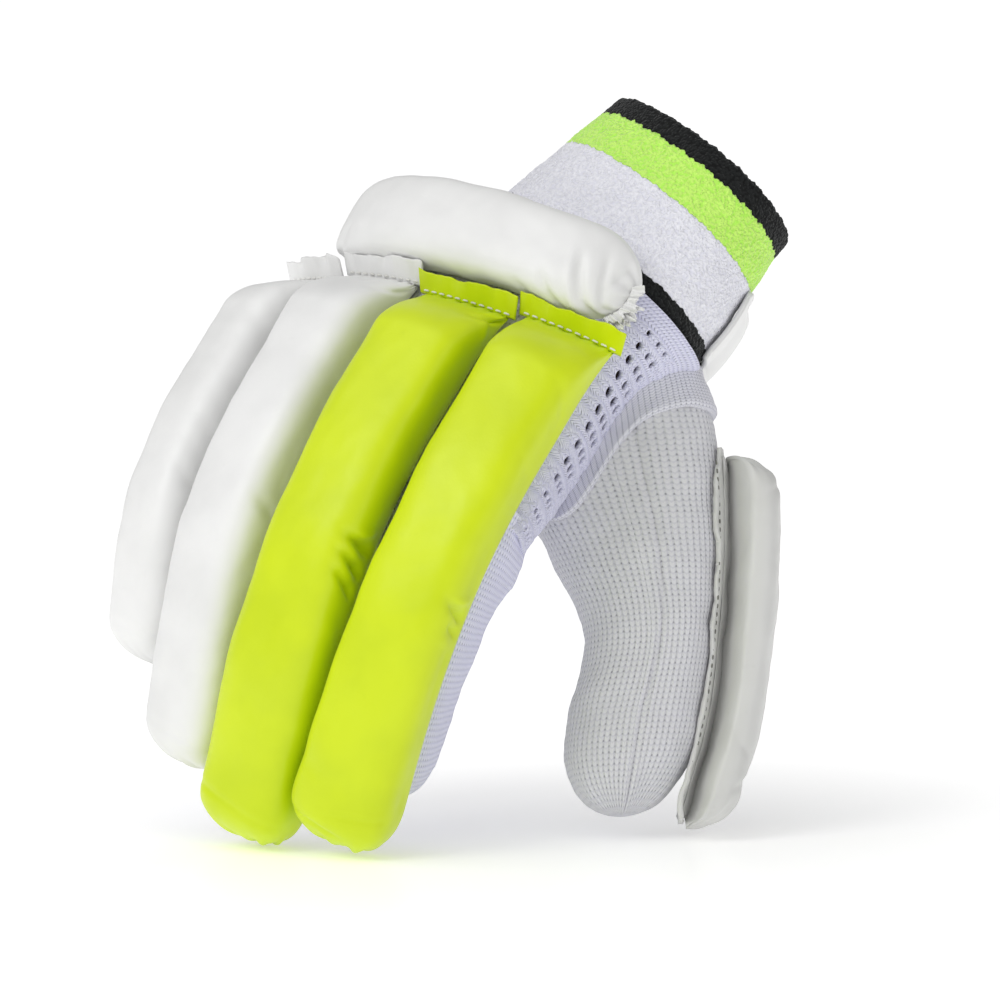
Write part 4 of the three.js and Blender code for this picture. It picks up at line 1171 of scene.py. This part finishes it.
def thumb_pad():
    start = THUMB_PAD_START * THUMB_LENGTH + THUMB_FLANGE_RIM
    end = THUMB_LENGTH + THUMB_PAD_REACH
    places = spread(start, end, THUMB_PAD_ROUND, THUMB_PAD_TIP_ROUND, 34, 150)
    angle = full_turn(110)
    near = np.minimum(places - start, end - places)

    def size(power):
        first = end_round(places - start, THUMB_PAD_ROUND, power)
        return first * end_round(end - places, THUMB_PAD_TIP_ROUND, power)

    half_deep = THUMB_PAD_DEPTH / 2 * size(2.3)
    half_wide = (THUMB_PAD_WIDTH / 2 - THUMB_PAD_NARROW) * size(3)
    bow, deep, _ = thumb_station(places)
    lift = bow + deep + FLAP_WALL + 3 * SEAM_GAP + half_deep
    x, y = round_box(angle[None, :], half_wide[:, None], half_deep[:, None], 3)
    x = x * (1 - 0.1 * np.clip(-2 * y / np.maximum(half_deep[:, None], 1), 0, 1))
    p = from_thumb(lift[:, None] + y, x, np.broadcast_to(places[:, None], x.shape))
    s, a = places[:, None], angle[None, :]
    # the cover's foot spreads to the stitch line on the flange
    foot = flange_point(s, THUMB_PAD_FOOT * x / half_wide[:, None], 2 * SEAM_GAP + FLAP_WALL + 0.2)
    sewn = np.clip((-np.sin(a) - 0.15) / 0.5, 0, 1) ** 1.2 * np.clip((end - s) / 4, 0, 1)
    p = lerp(p, foot, sewn[..., None])
    n = outward_normals(p, True, p.mean(1))
    body = np.clip(near / 8, 0, 1)[:, None]
    out = wave_noise(p, 36, 91) * 0.5 * body + wave_noise(p, 10, 92) * 0.14 * body
    out = out + bell(s, start, 6) * (0.6 * np.sin(a * 6 + 1) + 0.35 * np.sin(a * 13))
    out = out + bell(s, end, 6) * (0.2 * np.sin(a * 5) + 0.3 * np.sin(a * 11 + 2))
    out = creased(out, s, a, THUMB_PAD_CREASES)
    p = p + n * np.where(np.sin(a) < -0.7, 0, out)[..., None]
    v = np.linspace(0, 2 * (THUMB_PAD_WIDTH + THUMB_PAD_DEPTH), len(angle) + 1)
    obj = tube("thumb_pad_cover", p, places, v, PAD_VINYL, ("thumb_pad",))


# Cuff


def cuff_point(at, inset, degrees):
    """Point of the cuff: 0 degrees faces the little finger, 90 the back, 180 the thumb and 270 the palm."""
    at, inset, degrees = np.broadcast_arrays(np.asarray(at, float), np.asarray(inset, float),
                                             np.asarray(degrees, float))
    # the cuff's lower edge is pulled down under the knuckle pad
    pulled = bell(degrees % 360, CUFF_PULL_ANGLE, 34) * np.clip(1 - at / 24, 0, 1)
    at = at - CUFF_PULL * pulled
    share = at / CUFF_LENGTH
    wide = lerp(WRIST_WIDTH, MOUTH_WIDTH, share) / 2 - inset
    deep = lerp(WRIST_DEPTH, MOUTH_DEPTH, share) / 2 - inset
    x, y = round_box(np.radians(degrees), wide, deep, 2.2)
    return np.stack([x, y, at], -1) @ CUFF_TURN.T + CUFF_AT


def loops(rows, cols, seed):
    """Heights from 0 to 1 of terry loops on a grid that wraps round."""
    rng = np.random.RandomState(seed)
    h = rng.rand(rows, cols)
    h = h * 0.6 + 0.1 * (np.roll(h, 1, 0) + np.roll(h, -1, 0) + np.roll(h, 1, 1) + np.roll(h, -1, 1))
    return (h - h.min()) / (h.max() - h.min())


def cuff_band(index, start, length, material, slot):
    name = CUFF_BANDS[index][0]
    last = index == len(CUFF_BANDS) - 1
    cols = int(math.pi * (WRIST_WIDTH + WRIST_DEPTH) / 2 / LOOP_STEP)
    rows = int(length / LOOP_STEP) + 1
    degrees = np.linspace(0, 360, cols, endpoint=False)[None, :]
    share = np.linspace(0, 1, rows)[:, None]

    def edge(line):
        a = np.radians(degrees)
        return 0.16 * (np.sin(a * 23 + line) + np.sin(a * 61 + 2 * line) + 0.8 * np.sin(a * 113 + 3 * line))

    low = start + (edge(index) if index else 0 * edge(0)) * (1.0 if index != 3 else 1.6)
    high = start + length - (SEAM_GAP if last else 0) + edge(index + 1) * (1.6 if index == 2 else 1.0)
    at = lerp(low, high, share)
    down = (at - low) if index == 0 else np.full_like(at, 9.0)
    up = (high - at) if last else np.full_like(at, 9.0)
    near = np.minimum(down, up)
    radius = CUFF_WALL / 2 - 0.1
    rounding = radius * (1 - np.sqrt(1 - np.clip(1 - near / radius, 0, 1) ** 2))
    height = loops(rows, cols, 100 + index)
    soft = 0.55 * height - 0.25 + wave_noise(cuff_point(at, 0, degrees), 18, 40) * 0.3
    outer = cuff_point(at, rounding - soft, degrees)
    inner = cuff_point(at, CUFF_WALL - rounding + 0.2 * loops(rows, cols, 140 + index), degrees)
    v = np.linspace(0, math.pi * (WRIST_WIDTH + WRIST_DEPTH) / 2, cols + 1)
    return shell(name + "_terry", outer, inner, share[:, 0] * length, v, material, (name,), wrap=True)


def wrist_strap():
    share = np.linspace(0, 1, 120)[None, :]
    row = np.linspace(0, 1, 60)[:, None]
    corner = end_round(np.minimum(row, 1 - row) * STRAP_WIDTH, 5, 2) * np.ones_like(share)
    off = STRAP_SHOWN * np.sin(math.pi * np.minimum(1, (1 - share) * 1.25)) ** 2
    bow = np.sin(math.pi * row) * STRAP_BOW
    free = STRAP_FROM + (STRAP_TO - STRAP_FROM) * (0.03 * (1 - corner) + share * (1 - 0.03 * (1 - corner)))
    at = STRAP_START + STRAP_WIDTH * row
    rim = bell(np.minimum(row, 1 - row) * STRAP_WIDTH, 2.2, 0.5)
    face = cuff_point(at, -(SEAM_GAP + off + bow + STRAP_WALL - 0.25 * rim), free)
    back = cuff_point(at, -(SEAM_GAP + off + bow), free)
    obj = shell("wrist_strap_cover", face, back, at[:, 0], np.linspace(0, 62, 120), WHITE,
                ("wrist_strap",))


# painted shade: dark brown-grey cloth stands in for the shade inside the glove behind the eyelets
EYELET_SHADE = plain("eyelet_painted_shade", linear(52, 40, 40), 0.95)
FOLD_KNIT = knit("fold_knit", linear(228, 228, 236), linear(202, 202, 214), 1.2, 1.0, 0.00025)
PAD_VINYL = vinyl("thumb_vinyl", linear(217, 217, 215), linear(206, 206, 203))

COVERS = ((LIME, "lime_vinyl"), (LIME, "lime_vinyl"), (WHITE, "white_vinyl"), (WHITE, "white_vinyl"))
dashes = []
for i, finger in enumerate(FINGERS):
    finger_roll(finger, *COVERS[i], 11 + 7 * i)
    seam_flap(finger, *COVERS[i], 1.3 + 2 * i)
    dashes += roll_stitches(finger, 1.3 + 2 * i)
    finger_stall(finger, 50 + i)
threads("roll_stitches", dashes, 0.3, THREAD)
knuckle_pad()
pad_gathers()
panel("back_panel", BACK_SEAM, LITTLE_SEAM, 0, 55)
panel("palm_panel", LITTLE_SEAM, THUMB_SIDE_SEAM, 360, 57)
side_mesh()
eyelet_shade_sheet()
thumb_stall()
web_fold()
thumb_flange()
thumb_pad()
reached = 0
CUFF_FINISH = ((BLACK_TERRY, "black_terry"), (TERRY, "white_terry"), (LIME_TERRY, "lime_terry"),
               (BLACK_TERRY, "black_terry"))
for i, (_, length) in enumerate(CUFF_BANDS):
    cuff_band(i, reached, length, *CUFF_FINISH[i])
    reached += length
wrist_strap()


# Floor, light and camera


def camera():
    data = bpy.data.cameras.new("photo_camera")
    data.sensor_width = 36
    data.lens = CAMERA_LENS
    data.clip_end = 100
    obj = add_object("photo_camera", data)
    rise = math.radians(CAMERA_RISE)
    obj.location = Vector(CAMERA_AIM) + CAMERA_AWAY * Vector((0, -math.cos(rise), math.sin(rise)))
    obj.rotation_euler = (math.pi / 2 - rise, 0, 0)
    bpy.context.scene.camera = obj


def soft_light(name, size, power, place):
    data = bpy.data.lights.new(name, "AREA")
    data.size = size
    data.energy = power
    obj = add_object(name, data)
    obj.location = place
    obj.rotation_euler = (Vector(GLOVE_MIDDLE) - Vector(place)).to_track_quat("-Z", "Y").to_euler()


def studio():
    low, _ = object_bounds()
    mesh = bpy.data.meshes.new("floor")
    z = low.z - FLOOR_DROP
    mesh.from_pydata([(-30, -8, z), (30, -8, z), (30, 60, z), (-30, 60, z)], [], [(0, 1, 2, 3)])
    n = Nodes("pale_floor")
    where = n.add("TexCoord").outputs["Object"]
    tone = n.ramp(n.noise(where, 3, 2), 0.3, 0.7, 0.3, 0.4, "LINEAR")
    mesh.materials.append(n.finish(linear(250, 250, 250), tone, n.bump(n.noise(where, 400, 2), 0.02, 0.0002)))
    n.shader.inputs["Specular IOR Level"].default_value = 0.1
    n.shader.inputs["Emission Color"].default_value = (1, 1, 1, 1)
    # the floor's glow is weaker near the glove, a painted shadow round it, and fades up to pure white away
    # from it
    away = n.add("VectorMath", {0: where, 1: (-0.06, -0.05, z)}, operation="DISTANCE").outputs["Value"]
    n.link(n.ramp(away, *FLOOR_GLOW_REACH, *FLOOR_GLOW), n.shader.inputs["Emission Strength"])
    add_object("floor", mesh)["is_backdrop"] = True
    world = bpy.data.worlds.new("studio")
    world.use_nodes = True
    sky = world.node_tree.nodes["Background"].inputs
    sky[0].default_value = (1, 1, 1, 1)
    sky[1].default_value = WORLD_LIGHT
    bpy.context.scene.world = world
    soft_light("key", KEY_SIZE, KEY_POWER, KEY_PLACE)
    soft_light("fill", FILL_SIZE, FILL_POWER, FILL_PLACE)
    sun = bpy.data.lights.new("soft_sun", "SUN")
    sun.energy = SUN_POWER
    sun.angle = math.radians(SUN_SIZE)
    add_object("soft_sun", sun).rotation_euler = (math.radians(20), math.radians(-25), 0)
    bpy.context.scene.view_settings.view_transform = "Standard"


camera()
studio()
